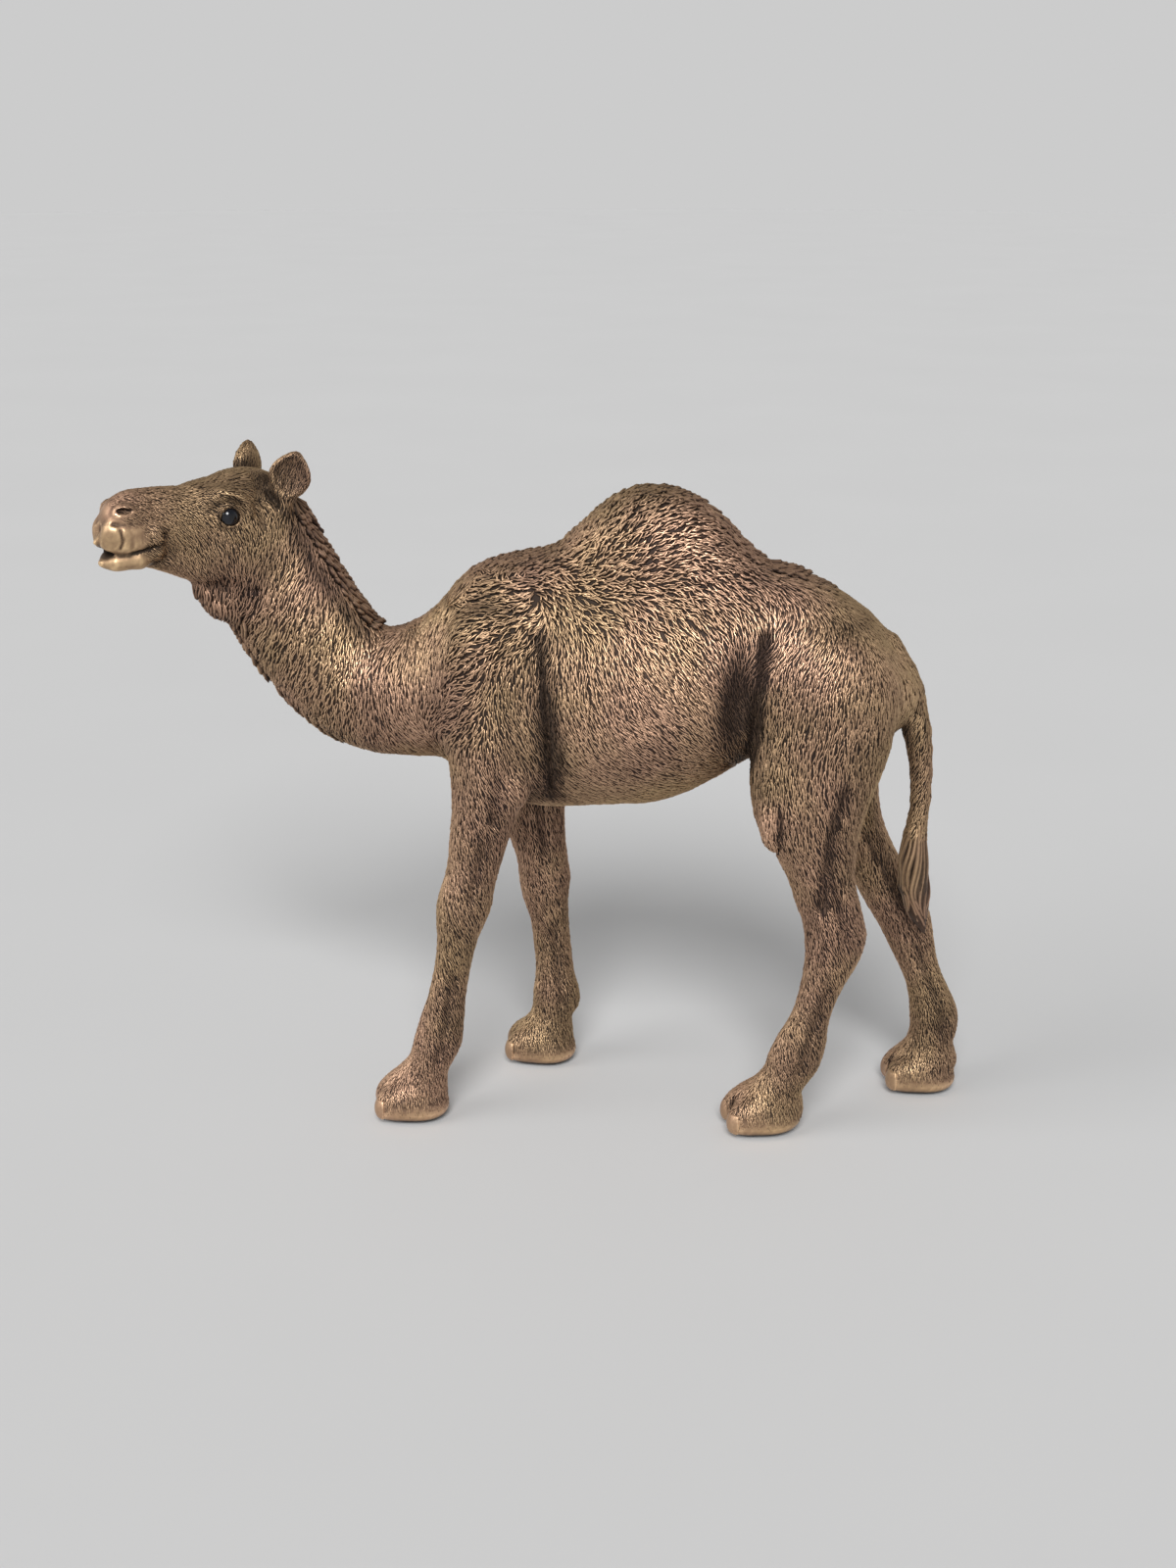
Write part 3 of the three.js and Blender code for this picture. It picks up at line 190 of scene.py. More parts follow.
# ---------------------------------------------------------------- lie of the coat
# Strokes seen from the side: y, z, direction in degrees (0 back, -90 down, 90 up), size of the stroke
BODY_STROKES = [
    # withers
    (-37, 167, 60, 1.2), (-23, 173, 40, 1.3), (-15, 175, 25, 1.3), (-11, 169, 3, 1.3),
    # shoulder patch, running forwards and down from the whorl
    (-29, 163, 205, 1.35), (-19, 165, 187, 1.4), (-15, 159, 205, 1.4), (-13, 153, 240, 1.3),
    (-11, 149, 255, 1.1), (-22, 149, 220, 1.4), (-28, 151, 207, 1.4), (-32, 142, 202, 1.4),
    (-34, 136, 200, 1.35), (-37, 129, 205, 1.3), (-33, 132, 235, 1.2), (-27, 143, 245, 1.15),
    # upper arm
    (-24, 141, 268, 0.95), (-22, 133, 285, 0.85), (-18, 128, 300, 0.85), (-12, 145, 272, 0.85),
    (-30, 112, 285, 0.85), (-22, 108, 300, 0.85),
    # behind the whorl
    (-5, 169, -35, 1.4), (-8, 163, -60, 1.3), (3, 167, -12, 1.4), (5, 161, -35, 1.2), (-1, 160, -60, 1.1),
    # flank
    (-5, 156, -75, 1), (-1, 146, -78, 0.9), (9, 150, -72, 0.9), (11, 138, -65, 0.85), (14, 154, -65, 1),
    (22, 161, -50, 1.2), (31, 157, -50, 1.1), (39, 157, -60, 1.05), (48, 157, -80, 1), (22, 139, -50, 0.85),
    (35, 141, -55, 0.9), (29, 132, -40, 0.85), (5, 127, -55, 0.8), (18, 127, -35, 0.8),
    (48, 131, -60, 0.85),
    (9, 113, -30, 0.8), (32, 114, -30, 0.8),
    # hump
    (3, 188, 70, 1.4), (11, 192, 55, 1.4), (19, 195, 48, 1.4), (26, 196, 38, 1.4), (32, 194, 20, 1.4),
    (39, 191, -18, 1.35), (44, 186, -35, 1.3), (49, 180, -30, 1.25), (19, 185, 40, 1.4), (31, 184, 25, 1.4),
    (36, 184, 5, 1.35), (6, 179, 50, 1.4), (14, 178, 35, 1.4), (24, 179, 25, 1.4), (31, 176, 10, 1.35),
    (42, 180, -8, 1.3), (1, 174, 30, 1.4), (11, 172, 10, 1.4), (24, 172, 15, 1.4), (37, 173, -25, 1.3),
    (47, 173, -20, 1.25), (6, 166, -5, 1.4), (21, 166, -15, 1.4), (34, 167, -30, 1.3), (16, 160, -50, 1.2),
    # croup and hip
    (54, 177, -20, 1.15), (62, 174, -20, 1.05), (54, 171, -40, 1.1), (62, 169, -30, 0.95),
    (72, 168, -45, 0.8),
    (44, 166, -40, 1.2), (52, 165, -60, 1.05), (57, 164, -75, 0.95), (64, 164, -80, 0.85),
    (72, 162, -75, 0.75),
    (82, 160, -60, 0.7), (91, 150, -70, 0.7),
    # thigh
    (54, 149, 230, 0.85), (57, 136, 265, 0.85), (60, 160, 245, 0.9), (67, 155, 245, 0.85),
    (73, 148, 250, 0.85), (78, 156, 255, 0.75), (60, 142, 265, 0.85), (66, 131, 265, 0.9),
    (74, 125, 260, 0.95), (82, 137, 265, 0.85), (87, 149, 262, 0.75), (60, 112, 275, 0.9),
    (74, 105, 285, 0.9),
    (84, 118, 270, 0.85),
    # neck
    (-84, 170, 240, 1), (-105, 150, 240, 1.25), (-91, 138, 245, 1.1), (-72, 154, 255, 1.05),
    (-66, 121, 265, 1), (-55, 137, 278, 1.05), (-44, 152, 290, 0.95), (-52, 122, 315, 0.9),
    (-61, 122, 285, 1), (-44, 144, 285, 0.9), (-42, 138, 285, 0.9), (-60, 148, 262, 1.05),
    (-97, 162, 243, 1.1), (-80, 128, 252, 1.1), (-84, 152, 250, 1.1), (-78, 172, 262, 0.8),
    (-64, 158, 285, 0.85), (-52, 154, 300, 0.85),
    # lower legs
    (-34, 88, 288, 0.8), (-38, 60, 292, 0.75), (-42, 35, 292, 0.7), (-50, 12, 275, 0.6),
    (-20, 88, 285, 0.8), (-18, 60, 290, 0.75), (-15, 35, 290, 0.7), (-18, 12, 275, 0.6),
    (68, 88, 292, 0.85), (76, 66, 292, 0.75), (70, 40, 292, 0.7), (64, 22, 290, 0.65), (58, 10, 275, 0.6),
    (82, 88, 292, 0.8), (96, 66, 292, 0.75), (102, 44, 292, 0.7), (108, 24, 288, 0.65), (105, 10, 275, 0.6),
    # tail
    (96, 138, 262, 0.95), (98, 126, 250, 0.85), (100, 108, 246, 0.75), (100, 92, 250, 0.8),
    (100, 78, 268, 0.9),
]
# Strokes on the head: s, v, direction in degrees (0 forwards, 180 back), size of the stroke
HEAD_STROKES = [
    (26, 6, 206, 0.57), (18, 7, 212, 0.57), (10, 6, 216, 0.63), (3, 8, 205, 0.68), (-6, 10, 203, 0.74),
    (-14, 7, 210, 0.70), (22, 0, 222, 0.55), (15, -3, 232, 0.59), (9, -1, 230, 0.59), (8, -9, 248, 0.66),
    (4, 4, 205, 0.57), (-5, 4, 215, 0.63), (-6, -3, 255, 0.66), (2, -6, 248, 0.63), (-2, -12, 260, 0.74),
    (14, -12, 245, 0.59), (6, -17, 245, 0.66), (-8, -12, 288, 0.72), (-13, -4, 272, 0.70),
    (-15, -14, 290, 0.80),
    (-4, -24, 276, 1.15), (3, -23, 268, 1.0), (-16, -22, 295, 1.0), (20, -13, 205, 0.52),
]
FACE_BACK = -15.0              # s where the head's strokes give way to the neck's
STROKE_LENGTH, STROKE_WIDTH, RELIEF = 4.7, 0.8, 0.5     # of a stroke of size 1
SHORTENING, STRETCH = 1.2, -0.5        # powers of the size that set the length of small and of big strokes


# ---------------------------------------------------------------- distance fields
def curve(rows):
    """Smooth curve through rows whose first number is the station."""
    table = np.array(rows, float)
    t, v = table[:, 0], table[:, 1:]
    slope = (v[1:] - v[:-1]) / (t[1:] - t[:-1])[:, None]
    tangent = np.vstack([slope[:1], (slope[:-1] + slope[1:]) / 2, slope[-1:]])

    def at(q):
        q = np.clip(q, t[0], t[-1])
        i = np.clip(np.searchsorted(t, q, side="right") - 1, 0, len(t) - 2)
        h = (t[i + 1] - t[i])[..., None]
        u = (q - t[i])[..., None] / h
        rise = 3 * u**2 - 2 * u**3
        return (v[i] + rise * (v[i + 1] - v[i]) + (u**3 - 2 * u**2 + u) * h * tangent[i]
                + (u**3 - u**2) * h * tangent[i + 1])
    return at


def join(a, b, k):
    """Smooth union over a blend width k."""
    h = np.clip(0.5 + 0.5 * (b - a) / k, 0, 1)
    return b + (a - b) * h - k * h * (1 - h)


def carve(a, b, k):
    """a with the shape b taken out of it."""
    return -join(-a, b, k)


def ramp(x, lo, hi):
    """Smooth step from 0 at lo to 1 at hi."""
    t = np.clip((x - lo) / (hi - lo), 0, 1)
    return t * t * (3 - 2 * t)


def oval(u, v, a, b):
    """Distance to an ellipse with half axes a and b, from its middle's u and v."""
    k = np.hypot(u / a, v / b)
    g = np.hypot(u / a**2, v / b**2)
    return (k - 1) * np.where(g < 1e-6, np.minimum(a, b), k / np.maximum(g, 1e-6))


def egg(p, c, r, yaw=0.0):
    """Distance to an ellipsoid at c with half axes r, turned about the third axis."""
    turn = math.radians(yaw)
    dx, dy, z = p[0] - c[0], p[1] - c[1], p[2] - c[2]
    x = math.cos(turn) * dx + math.sin(turn) * dy
    y = math.cos(turn) * dy - math.sin(turn) * dx
    k = np.sqrt((x / r[0])**2 + (y / r[1])**2 + (z / r[2])**2)
    g = np.sqrt((x / r[0]**2)**2 + (y / r[1]**2)**2 + (z / r[2]**2)**2)
    return (k - 1) * np.where(g < 1e-6, min(r), k / np.maximum(g, 1e-6))


def nearest(p, a, b):
    """Share of the way along the segment a-b, and the offset of p from it."""
    d = [b[i] - a[i] for i in range(3)]
    t = np.clip(sum((p[i] - a[i]) * d[i] for i in range(3)) / sum(x * x for x in d), 0, 1)
    return t, [p[i] - a[i] - t * d[i] for i in range(3)]


def rod(p, a, b, ra, rb):
    """Distance to a round rod from a to b whose radius runs from ra to rb."""
    t, offset = nearest(p, a, b)
    return np.sqrt(sum(x * x for x in offset)) - (ra + (rb - ra) * t)


def polyline(p, points, first, last):
    """Distance to a thick bent line whose radius runs from first to last."""
    radii = np.linspace(first, last, len(points))
    d = np.full(p[0].shape, np.inf)
    for a, b, ra, rb in zip(points[:-1], points[1:], radii[:-1], radii[1:]):
        d = np.minimum(d, rod(p, a, b, ra, rb))
    return d


def beam(along, x, z, at, first, last):
    """Distance to a lofted form whose sections are an upper and a lower half ellipse."""
    top, low, wide, mid = np.moveaxis(at(along), -1, 0)
    d = oval(x, z - mid, wide, np.where(z > mid, top - mid, mid - low))
    return np.maximum(d, np.maximum(first - along, along - last))


def within(lo, hi, shape, margin=12.0):
    """The shape where it is near its box lo-hi, and a plain distance to the box elsewhere."""
    lo, hi = np.array(lo, float) - margin, np.array(hi, float) + margin

    def field(p):
        away = sum(np.maximum(np.maximum(lo[i] - p[i], p[i] - hi[i]), 0)**2 for i in range(3))
        d = np.sqrt(away) + margin
        near = away == 0
        if near.any():
            d[near] = shape([x[near] for x in p])
        return d
    return field


trunk_at, hump_at, neck_at = curve(TRUNK), curve(HUMP), curve(NECK)
skull_at, jaw_at = curve(SKULL), curve(JAW)
leg_at = {name: curve(rows) for name, rows in LEGS.items()}


def trunk(p):
    barrel = beam(p[1], p[0], p[2], trunk_at, TRUNK[0][0], TRUNK[-1][0])
    top, wide = np.moveaxis(hump_at(p[1]), -1, 0)
    hump = oval(p[0], p[2] - HUMP_ROOT, wide, np.maximum(top - HUMP_ROOT, 1))
    hump = np.maximum(hump, np.maximum(HUMP[0][0] - p[1], p[1] - HUMP[-1][0]))
    return join(barrel, hump, 4)


def neck(p):
    knots = neck_at(np.linspace(0, NECK[-1][0], NECK_STEPS + 1))
    best = np.full(p[0].shape, np.inf)
    for a, b in zip(knots[:-1], knots[1:]):
        t, offset = nearest(p, a, b)
        deep, wide = a[3] + (b[3] - a[3]) * t, a[4] + (b[4] - a[4]) * t
        best = np.minimum(best, oval(offset[0], np.hypot(offset[1], offset[2]), wide, deep))
    return best


def toe_frame(p, name):
    """Point seen from a foot: x across its two toes, y back from their tips."""
    cx, tip, turn = FEET[name]
    c, s = math.cos(math.radians(turn)), math.sin(math.radians(turn))
    x, y = p[0] - cx, p[1] - tip - FOOT_MIDDLE
    return [c * x + s * y, FOOT_MIDDLE + c * y - s * x, p[2]]


def toe(q, side, swell=0.0):
    """One toe with the bed of its nail, larger all round by swell."""
    pad = egg(q, (side * 4.1, 9, 5.3), (4.8 + swell, 9 + swell / 2, 7.5 + swell), side * 4)
    return join(pad, egg(q, (side * 4.5, 3.4, 4.8), (3.3 + swell, 3.3 + swell, 3.9 + swell)), 1.6)


def leg(p, name):
    """One leg, lofted upwards, with its foot."""
    front, back, cx, wide = np.moveaxis(leg_at[name](p[2]), -1, 0)
    d = oval(p[0] - cx, p[1] - (front + back) / 2, wide, (back - front) / 2)
    d = np.maximum(d * LEAN, np.maximum(-LEG_SINK - p[2], p[2] - LEG_TOP))
    q = toe_frame(p, name)
    foot = join(join(toe(q, -1), toe(q, 1), 0.7), egg(q, (0, FOOT_MIDDLE, 3.4), (9, 9.2, 6.8)), 2)
    return join(d, foot, 1.6)


def tail(p):
    pieces = [rod(p, (0, a[0], a[1]), (0, b[0], b[1]), a[2], b[2]) for a, b in zip(TAIL[:-1], TAIL[1:])]
    d = pieces[0]
    for piece in pieces[1:]:
        d = join(d, piece, 0.8)
    return d


FORWARD = np.array([math.sin(HEAD_YAW), -math.cos(HEAD_YAW), 0.0])
LEFT = np.array([math.cos(HEAD_YAW), math.sin(HEAD_YAW), 0.0])
UP = np.array([0.0, 0.0, 1.0])


def to_head(p):
    x, y = p[0] - HEAD_AT[0], p[1] - HEAD_AT[1]
    return [x * FORWARD[0] + y * FORWARD[1], x * LEFT[0] + y * LEFT[1], p[2] - HEAD_AT[2]]


def from_head(s, w, v):
    return np.array(HEAD_AT) + s * FORWARD + w * LEFT + v * UP


def both(q):
    """Head point folded onto the animal's left side."""
    return [q[0], np.abs(q[1]), q[2]]


def head(p):
    """Skull and jaw with the lips, cheeks, brow, crown and throat."""
    q = to_head(p)
    m = both(q)
    lips = 1.2 + 5.3 * np.clip((24 - q[0]) / 18, 0, 1)
    d = beam(q[0], q[1], q[2], skull_at, SKULL[0][0], SKULL[-1][0])
    d = join(d, beam(q[0], q[1], q[2], jaw_at, JAW[0][0], JAW[-1][0]), lips)
    d = join(d, egg(m, (28, 3.4, -2.2), (8.6, 4.6, 6.2)), 1.6)        # upper lip
    d = join(d, egg(q, (27.2, 0, 2.2), (7.6, 5.8, 5.9)), 2.4)         # nose
    d = join(d, egg(m, (33.4, 2, -4.9), (3.2, 2.5, 2.9)), 2.2)        # front of the lips
    d = join(d, egg(q, (30.6, 0, -11.2), (6, 4.3, 2.6)), 1.2)         # lower lip
    d = join(d, rod(m, (32.4, 3.0, -10.9), (26.5, 5.0, -10.3), 2.3, 2.5), 2)
    d = join(d, rod(m, (26.5, 5.0, -10.3), (21.4, 5.7, -8.4), 2.5, 2.4), 2)
    d = join(d, polyline(m, LIPS, 1.9, 2.2), 1.8)                     # edge of the upper lip
    d = join(d, egg(m, (-7, 7.6, -9.8), (10.5, 4.8, 9.5)), 4)         # cheek
    d = join(d, egg(m, (-1.4, 7.6, 5.3), (7.0, 3.3, 3.4), -6), 3.5)   # brow
    d = join(d, egg(m, (-16.5, 8.6, 4), (4.2, 3.2, 4.4)), 2.5)        # root of the ear
    d = join(d, egg(q, (-9.5, 0, 8.1), (9, 7.5, 3.2)), 3)             # crown
    d = join(d, egg(q, (6.2, 0, 6.2), (4, 5, 3.1)), 1.5)              # forehead
    d = join(d, egg(q, (-5, 0, -25.4), (7.5, 6.3, 5.6)), 4.5)         # throat
    d = join(d, rod(q, (5, 0, -21.4), (-1, 0, -27), 2.7, 3.9), 3)
    return d


def ear_axes(side):
    """Out of the ear's open side, across it, and up along it, in head terms."""
    up = np.array([-EAR_LEAN[side], 0.16 * side, 1.0])
    up /= np.linalg.norm(up)
    n = np.array([0.5, 0.866 * side, 0.0])
    n -= n @ up * up
    n /= np.linalg.norm(n)
    return n, np.cross(up, n), up


def ear_frame(q, side):
    """Head point as seen from the root of one ear."""
    r = [q[i] - EARS[side][i] for i in range(3)]
    return [sum(r[i] * axis[i] for i in range(3)) for axis in ear_axes(side)]


def ear(p, side):
    """Leaf with a hollow inner face on a short stalk, and two folds in the hollow."""
    r = ear_frame(to_head(p), side)
    rise = np.clip(r[2] / EAR_HEIGHT, 0, 1)
    taper = 0.62 + 1.95 * rise * (1 - rise)
    t = [r[0], r[1] / taper, r[2]]
    leaf = egg(t, (0, 0, EAR_HEIGHT / 2), (3.2, 5.7, EAR_HEIGHT / 2 + 0.3))
    bowl = egg(t, (2.8, 0, EAR_HEIGHT / 2 + 0.6), (2.9, 4.5, EAR_HEIGHT / 2 - 1.5))
    stalk = rod(r, (-0.8, 0, -2.5), (-0.6, 0, 2), 3.4, 2.3)
    d = join(carve(leaf, bowl, 0.6), stalk, 1.2)
    fold = rod(r, (1.2, -2.2 * side, 1.0), (0.0, -1.8 * side, 9.5), 1.0, 0.4)
    d = join(d, fold, 0.6)
    return join(d, rod(r, (0.9, 0.7 * side, 2.0), (0.1, 1.1 * side, 8.5), 0.7, 0.35), 0.5)


# Fine creases of the face on both sides, in head terms: the points, the first and last radius, the softness
CREASES = [
    # below the jaw
    ([(15, 5, -18.2), (8, 8, -20.4), (0, 9.4, -22.2), (-8, 10.2, -22.8), (-14, 11, -20), (-17, 11.4, -15)],
     0.5, 0.1, 1.9),
    # below and behind the eye
    ([(5.4, 11.4, -2.2), (2.8, 12.2, -4.2), (-1.5, 13.0, -5.2), (-5.0, 13.0, -3.4)], 0.3, 0.1, 1.0),
    ([(6.6, 10.8, -3.6), (2.6, 12.0, -6.8), (-3, 12.9, -8), (-7.5, 12.9, -6)], 0.3, 0.05, 1.6),
    ([(-4.6, 12.6, 1.6), (-6.2, 12.9, -0.6), (-6.6, 12.9, -3)], 0.2, 0.05, 1.2),
    ([(-8.2, 12.2, 6), (-9.6, 12.4, 2), (-10, 12.4, -3)], 0.5, 0.1, 2.6),
    # round the nostril
    ([(26.2, 7.8, 5.6), (25.3, 8.2, 3), (26, 8.6, 0.4)], 0.2, 0.25, 1.4),
    ([(33.8, 5.4, 0.6), (30.5, 7.6, 0.0), (26, 8.6, 0.4)], 0.05, 0.15, 1.8),
    # wrinkles of the upper lip
    ([(27.6, 8.5, -0.4), (26.4, 8.6, -2.4), (26.2, 8.4, -5.2)], 0.22, 0.08, 0.8),
    ([(30.0, 8.3, -0.6), (29.2, 8.4, -3.0), (29.4, 7.8, -6.2)], 0.06, 0.04, 1.2),
    ([(32.4, 7.0, -1.0), (31.8, 7.0, -4.0), (32.4, 6.2, -6.4)], 0.06, 0.04, 1.2),
    ([(24.6, 8.3, -0.8), (23.4, 8.5, -3.0), (23.6, 8.2, -4.6)], 0.22, 0.1, 0.9),
    ([(34.4, 4.6, -0.4), (34.4, 4.4, -4.0)], 0.15, 0.05, 0.8),
    # root of the ear
    ([(-13.2, 9.4, 5.4), (-15.4, 11.8, 1.6), (-19.5, 13.0, 0.6), (-24, 11.6, 2.0)], 0.5, 0.4, 1.6),
]
# Raised rim of the brow, above and behind the eye
BROW = [(1.8, 10.0, 6.9), (-0.6, 10.8, 6.6), (-3.2, 11.4, 5.6), (-5.2, 11.8, 3.4), (-6.2, 12.0, 0.8)]


def face_details(d, p):
    """Eye sockets and lids, nostrils, mouth, and the hollows between the bones."""
    q = to_head(p)
    m = both(q)
    s, w, v = EYE
    r = EYE_RADIUS
    d = carve(d, egg(m, (5.4, 12.6, 2.4), (3.4, 2.8, 2.6), -20), 1.6)     # hollow before the eye
    d = carve(d, egg(m, (-11.5, 13.8, 4.2), (4.5, 2.2, 3.6)), 2)          # temple
    d = join(d, polyline(m, BROW, 0.7, 0.8), 2.0)
    d = join(d, egg(m, (s, w, v), (r + 0.7, r + 0.3, r + 0.45)), 1.2)     # lids
    d = carve(d, egg(m, (s + 0.1, w + 3.1, v + 0.05), (r + 0.3, 3.2, r - 0.3)), 0.25)
    d = carve(d, egg(m, (s, w, v), (r + 0.06,) * 3), 0.1)
    d = carve(d, rod(m, (s + 5.2, w + 0.4, v - 1.0), (s + 2.6, w + 2.6, v - 0.4), 0.5, 0.8), 0.5)
    d = carve(d, polyline(m, [(4.4, 11, 2.6), (1, 12.4, 4.0), (-2.6, 12.6, 3.2)], 0.3, 0.15), 0.9)
    d = join(d, egg(m, (30.0, 5.0, 3.6), (3.5, 2.0, 2.5), -14), 1.0)      # wings of the nose
    d = carve(d, egg(m, (30.9, 6.7, 4.1), (2.7, 1.8, 0.95), -14), 0.4)
    d = carve(d, rod(m, (28.3, 7.3, 4.4), (29.6, 6.9, 5.3), 0.3, 0.25), 0.3)
    d = join(d, egg(m, (21.4, 7.0, -3.4), (2.6, 1.7, 3.0)), 1.6)          # corner of the mouth
    d = carve(d, polyline(m, [(20, 8.4, -0.8), (18.4, 8.4, -3.2), (18.8, 8, -6.0)], 0.55, 0.3), 0.8)
    d = carve(d, polyline(m, MOUTH, 0.35, 0.4), 0.35)
    d = carve(d, egg(q, (36.2, 0, -8.3), (3.9, 5.0, 1.2)), 0.7)           # gap between the front of the lips
    d = carve(d, egg(q, (38.2, 0, -3), (2.4, 0.45, 7)), 0.6)              # cleft of the upper lip
    d = join(d, rod(q, (35.4, 0, -4.0), (37.2, 0, -5.1), 1.5, 0.8), 1.2)  # its point
    for points, first, last, soft in CREASES:
        d = carve(d, polyline(m, points, first, last), soft)
    return d


def coat_depth(p):
    """How far the skin lies below the tips of the modelled hair."""
    muzzle = ramp(to_head(p)[0], 10, 22)
    back = ramp(p[2], 140, 168) * ramp(p[1], -52, -36)
    shoulder = ramp(p[1], -44, -36) * (1 - ramp(p[1], -24, -10)) * ramp(p[2], 118, 136)
    feet = 1 - ramp(p[2], 8, 22)
    return 0.3 + 0.25 * np.maximum(back, shoulder) - 0.2 * muzzle - 0.15 * feet


SHAPES = {
    "trunk": within((-30, -68, 96), (30, 99, 196), trunk),
    "neck": within((-24, -128, 108), (24, -40, 190), neck),
    "head": within((-22, -148, 148), (46, -84, 200), head),
    "ear_left": within((-4, -98, 180), (14, -74, 206), lambda p: ear(p, 1)),
    "ear_right": within((-24, -112, 180), (2, -92, 206), lambda p: ear(p, -1)),
    "tail": within((-6, 86, 59), (6, 106, 152), tail),
}
LEG_BOXES = {
    "foreleg_left": ((2, -66, -3), (34, -12, 158)), "foreleg_right": ((-34, -46, -3), (-2, -4, 158)),
    "hindleg_left": ((2, 42, -3), (30, 95, 158)), "hindleg_right": ((-30, 50, -3), (-2, 118, 158)),
}
for leg_name, (low_corner, high_corner) in LEG_BOXES.items():
    SHAPES[leg_name] = within(low_corner, high_corner, lambda p, name=leg_name: leg(p, name))


def fore_side(p):
    """Point folded onto the animal's left side."""
    return [np.abs(p[0]), p[1], p[2]]


def hind_side(p):
    """The same, with the right hind leg brought to the left one's place."""
    behind = leg_at["hindleg_right"](p[2])[..., 0] - leg_at["hindleg_left"](p[2])[..., 0]
    return [np.abs(p[0]), p[1] - np.where(p[0] < 0, behind, 0), p[2]]


def figure(p):
    """The whole body out to the tips of its coat."""
    m = fore_side(p)
    d = join(SHAPES["trunk"](p), SHAPES["neck"](p), 7)
    d = join(d, egg(m, (17.5, -29, 140), (8.5, 13, 20)), 5)             # shoulder
    d = join(d, egg(m, (13.5, 71, 139), (11.5, 19, 17)), 5)             # top of the thigh
    d = join(d, np.minimum.reduce([SHAPES[name](p) for name in LEGS]), 3.5)
    d = join(d, SHAPES["tail"](p), 2)
    heads = SHAPES["head"](p)
    for name in ("ear_left", "ear_right"):
        heads = join(heads, SHAPES[name](p), 1.2)
    return join(d, heads, 5)


def hollows(d, p):
    """Wide dips behind and before the shoulder and before the thigh, and the bumps of elbow and stifle."""
    m, h = fore_side(p), hind_side(p)
    d = carve(d, rod(m, (31, -10, 150), (27.4, -6.5, 108), 1.0, 3.2), 4.5)
    d = carve(d, egg(h, (28.5, 47.4, 130), (7, 4.8, 21)), 3)
    d = carve(d, rod(m, (27.5, -44, 122), (29.6, -38.5, 141), 0.6, 0.8), 3)
    d = join(d, egg(m, (22.4, -18.4, 108), (3.2, 3.6, 5.2)), 3.5)
    return join(d, egg(h, (20.8, 57.6, 99.5), (3.0, 3.3, 7.5)), 2.2)


def on_side(line, depth=0.6):
    """Points below the surface of the left side for the back and up places of a line."""
    y, z = np.array(line, float).T
    low, high = np.full(len(y), 16.0), np.full(len(y), 40.0)
    for _ in range(16):
        x = (low + high) / 2
        inside = hollows(figure([x, y, z]), [x, y, z]) < -depth
        low, high = np.where(inside, x, low), np.where(inside, high, x)
    return np.stack([low, y, z], 1)


# Sharp folds on both sides
ELBOW_FOLD = on_side([(-10.8, 153), (-10.4, 149), (-9.4, 141), (-8.4, 129), (-7.9, 114), (-8.7, 105)])
FLANK_FOLD = on_side([(54, 156), (53.6, 151), (53.2, 145), (52.1, 137), (51.2, 125), (50.2, 117)])
STIFLE_FOLD = on_side([(60.4, 104), (60.2, 99), (59.7, 92.7), (58.5, 89.6), (56.5, 88)])
GASKIN_FOLD = on_side([(78.9, 112), (75.2, 100), (73.4, 84), (72.6, 75)], 0.4)
# Groove that parts a nail from its toe: across, back and up in the foot's own terms
NAIL_EDGE = [(8.4, 3.4, 1.2), (8.6, 3.2, 4.0), (7.6, 2.8, 7.4), (4.8, 2.4, 8.8), (2.2, 2.6, 8.0)]


# Grooves beside the tendons: lower and upper end, and distance from the leg's back as a share of its depth
TENDONS = {"fore": [(22, 48, 0.34), (74, 92, 0.35)], "hind": [(22, 48, 0.34), (64, 88, 0.3)]}
LEGS_ONLY, FEET_ONLY = 100, 17         # heights below which there are only legs, and only feet


def tendon(p, name, low, high, back_share):
    """Groove down both faces of a leg, before the tendon at its back, between two heights."""
    front, back, cx, wide = np.moveaxis(leg_at[name](p[2]), -1, 0)
    out = np.abs(p[0] - cx) - wide * 0.92
    along = p[1] - (back - back_share * (back - front))
    ends = np.maximum(np.maximum(low - p[2], p[2] - high), 0) * 0.35
    return np.hypot(out / 1.5, along) + ends - 0.45


def body_details(d, p):
    """Folds and muscles: behind the elbow, before the thigh, at the knees and along the tendons."""
    m, h = fore_side(p), hind_side(p)
    d = hollows(d, p)
    d = carve(d, polyline(m, ELBOW_FOLD, 0.3, 1.0), 1.2)
    d = carve(d, polyline(h, FLANK_FOLD, 0.5, 1.2), 1.4)
    d = carve(d, polyline(h, STIFLE_FOLD, 0.4, 0.5), 0.9)
    d = carve(d, polyline(h, GASKIN_FOLD, 0.3, 0.5), 3)
    d = carve(d, rod(m, (29.5, -22, 119), (26.8, -24.5, 98), 0.3, 0.6), 2.2)
    low = p[2] < LEGS_ONLY
    if low.any():
        q = [x[low] for x in p]
        cut = np.full(q[0].shape, np.inf)
        for name in FEET:
            for row in TENDONS[name[:4]]:
                cut = np.minimum(cut, tendon(q, name, *row))
        d[low] = carve(d[low], cut, 2.2)
    return d


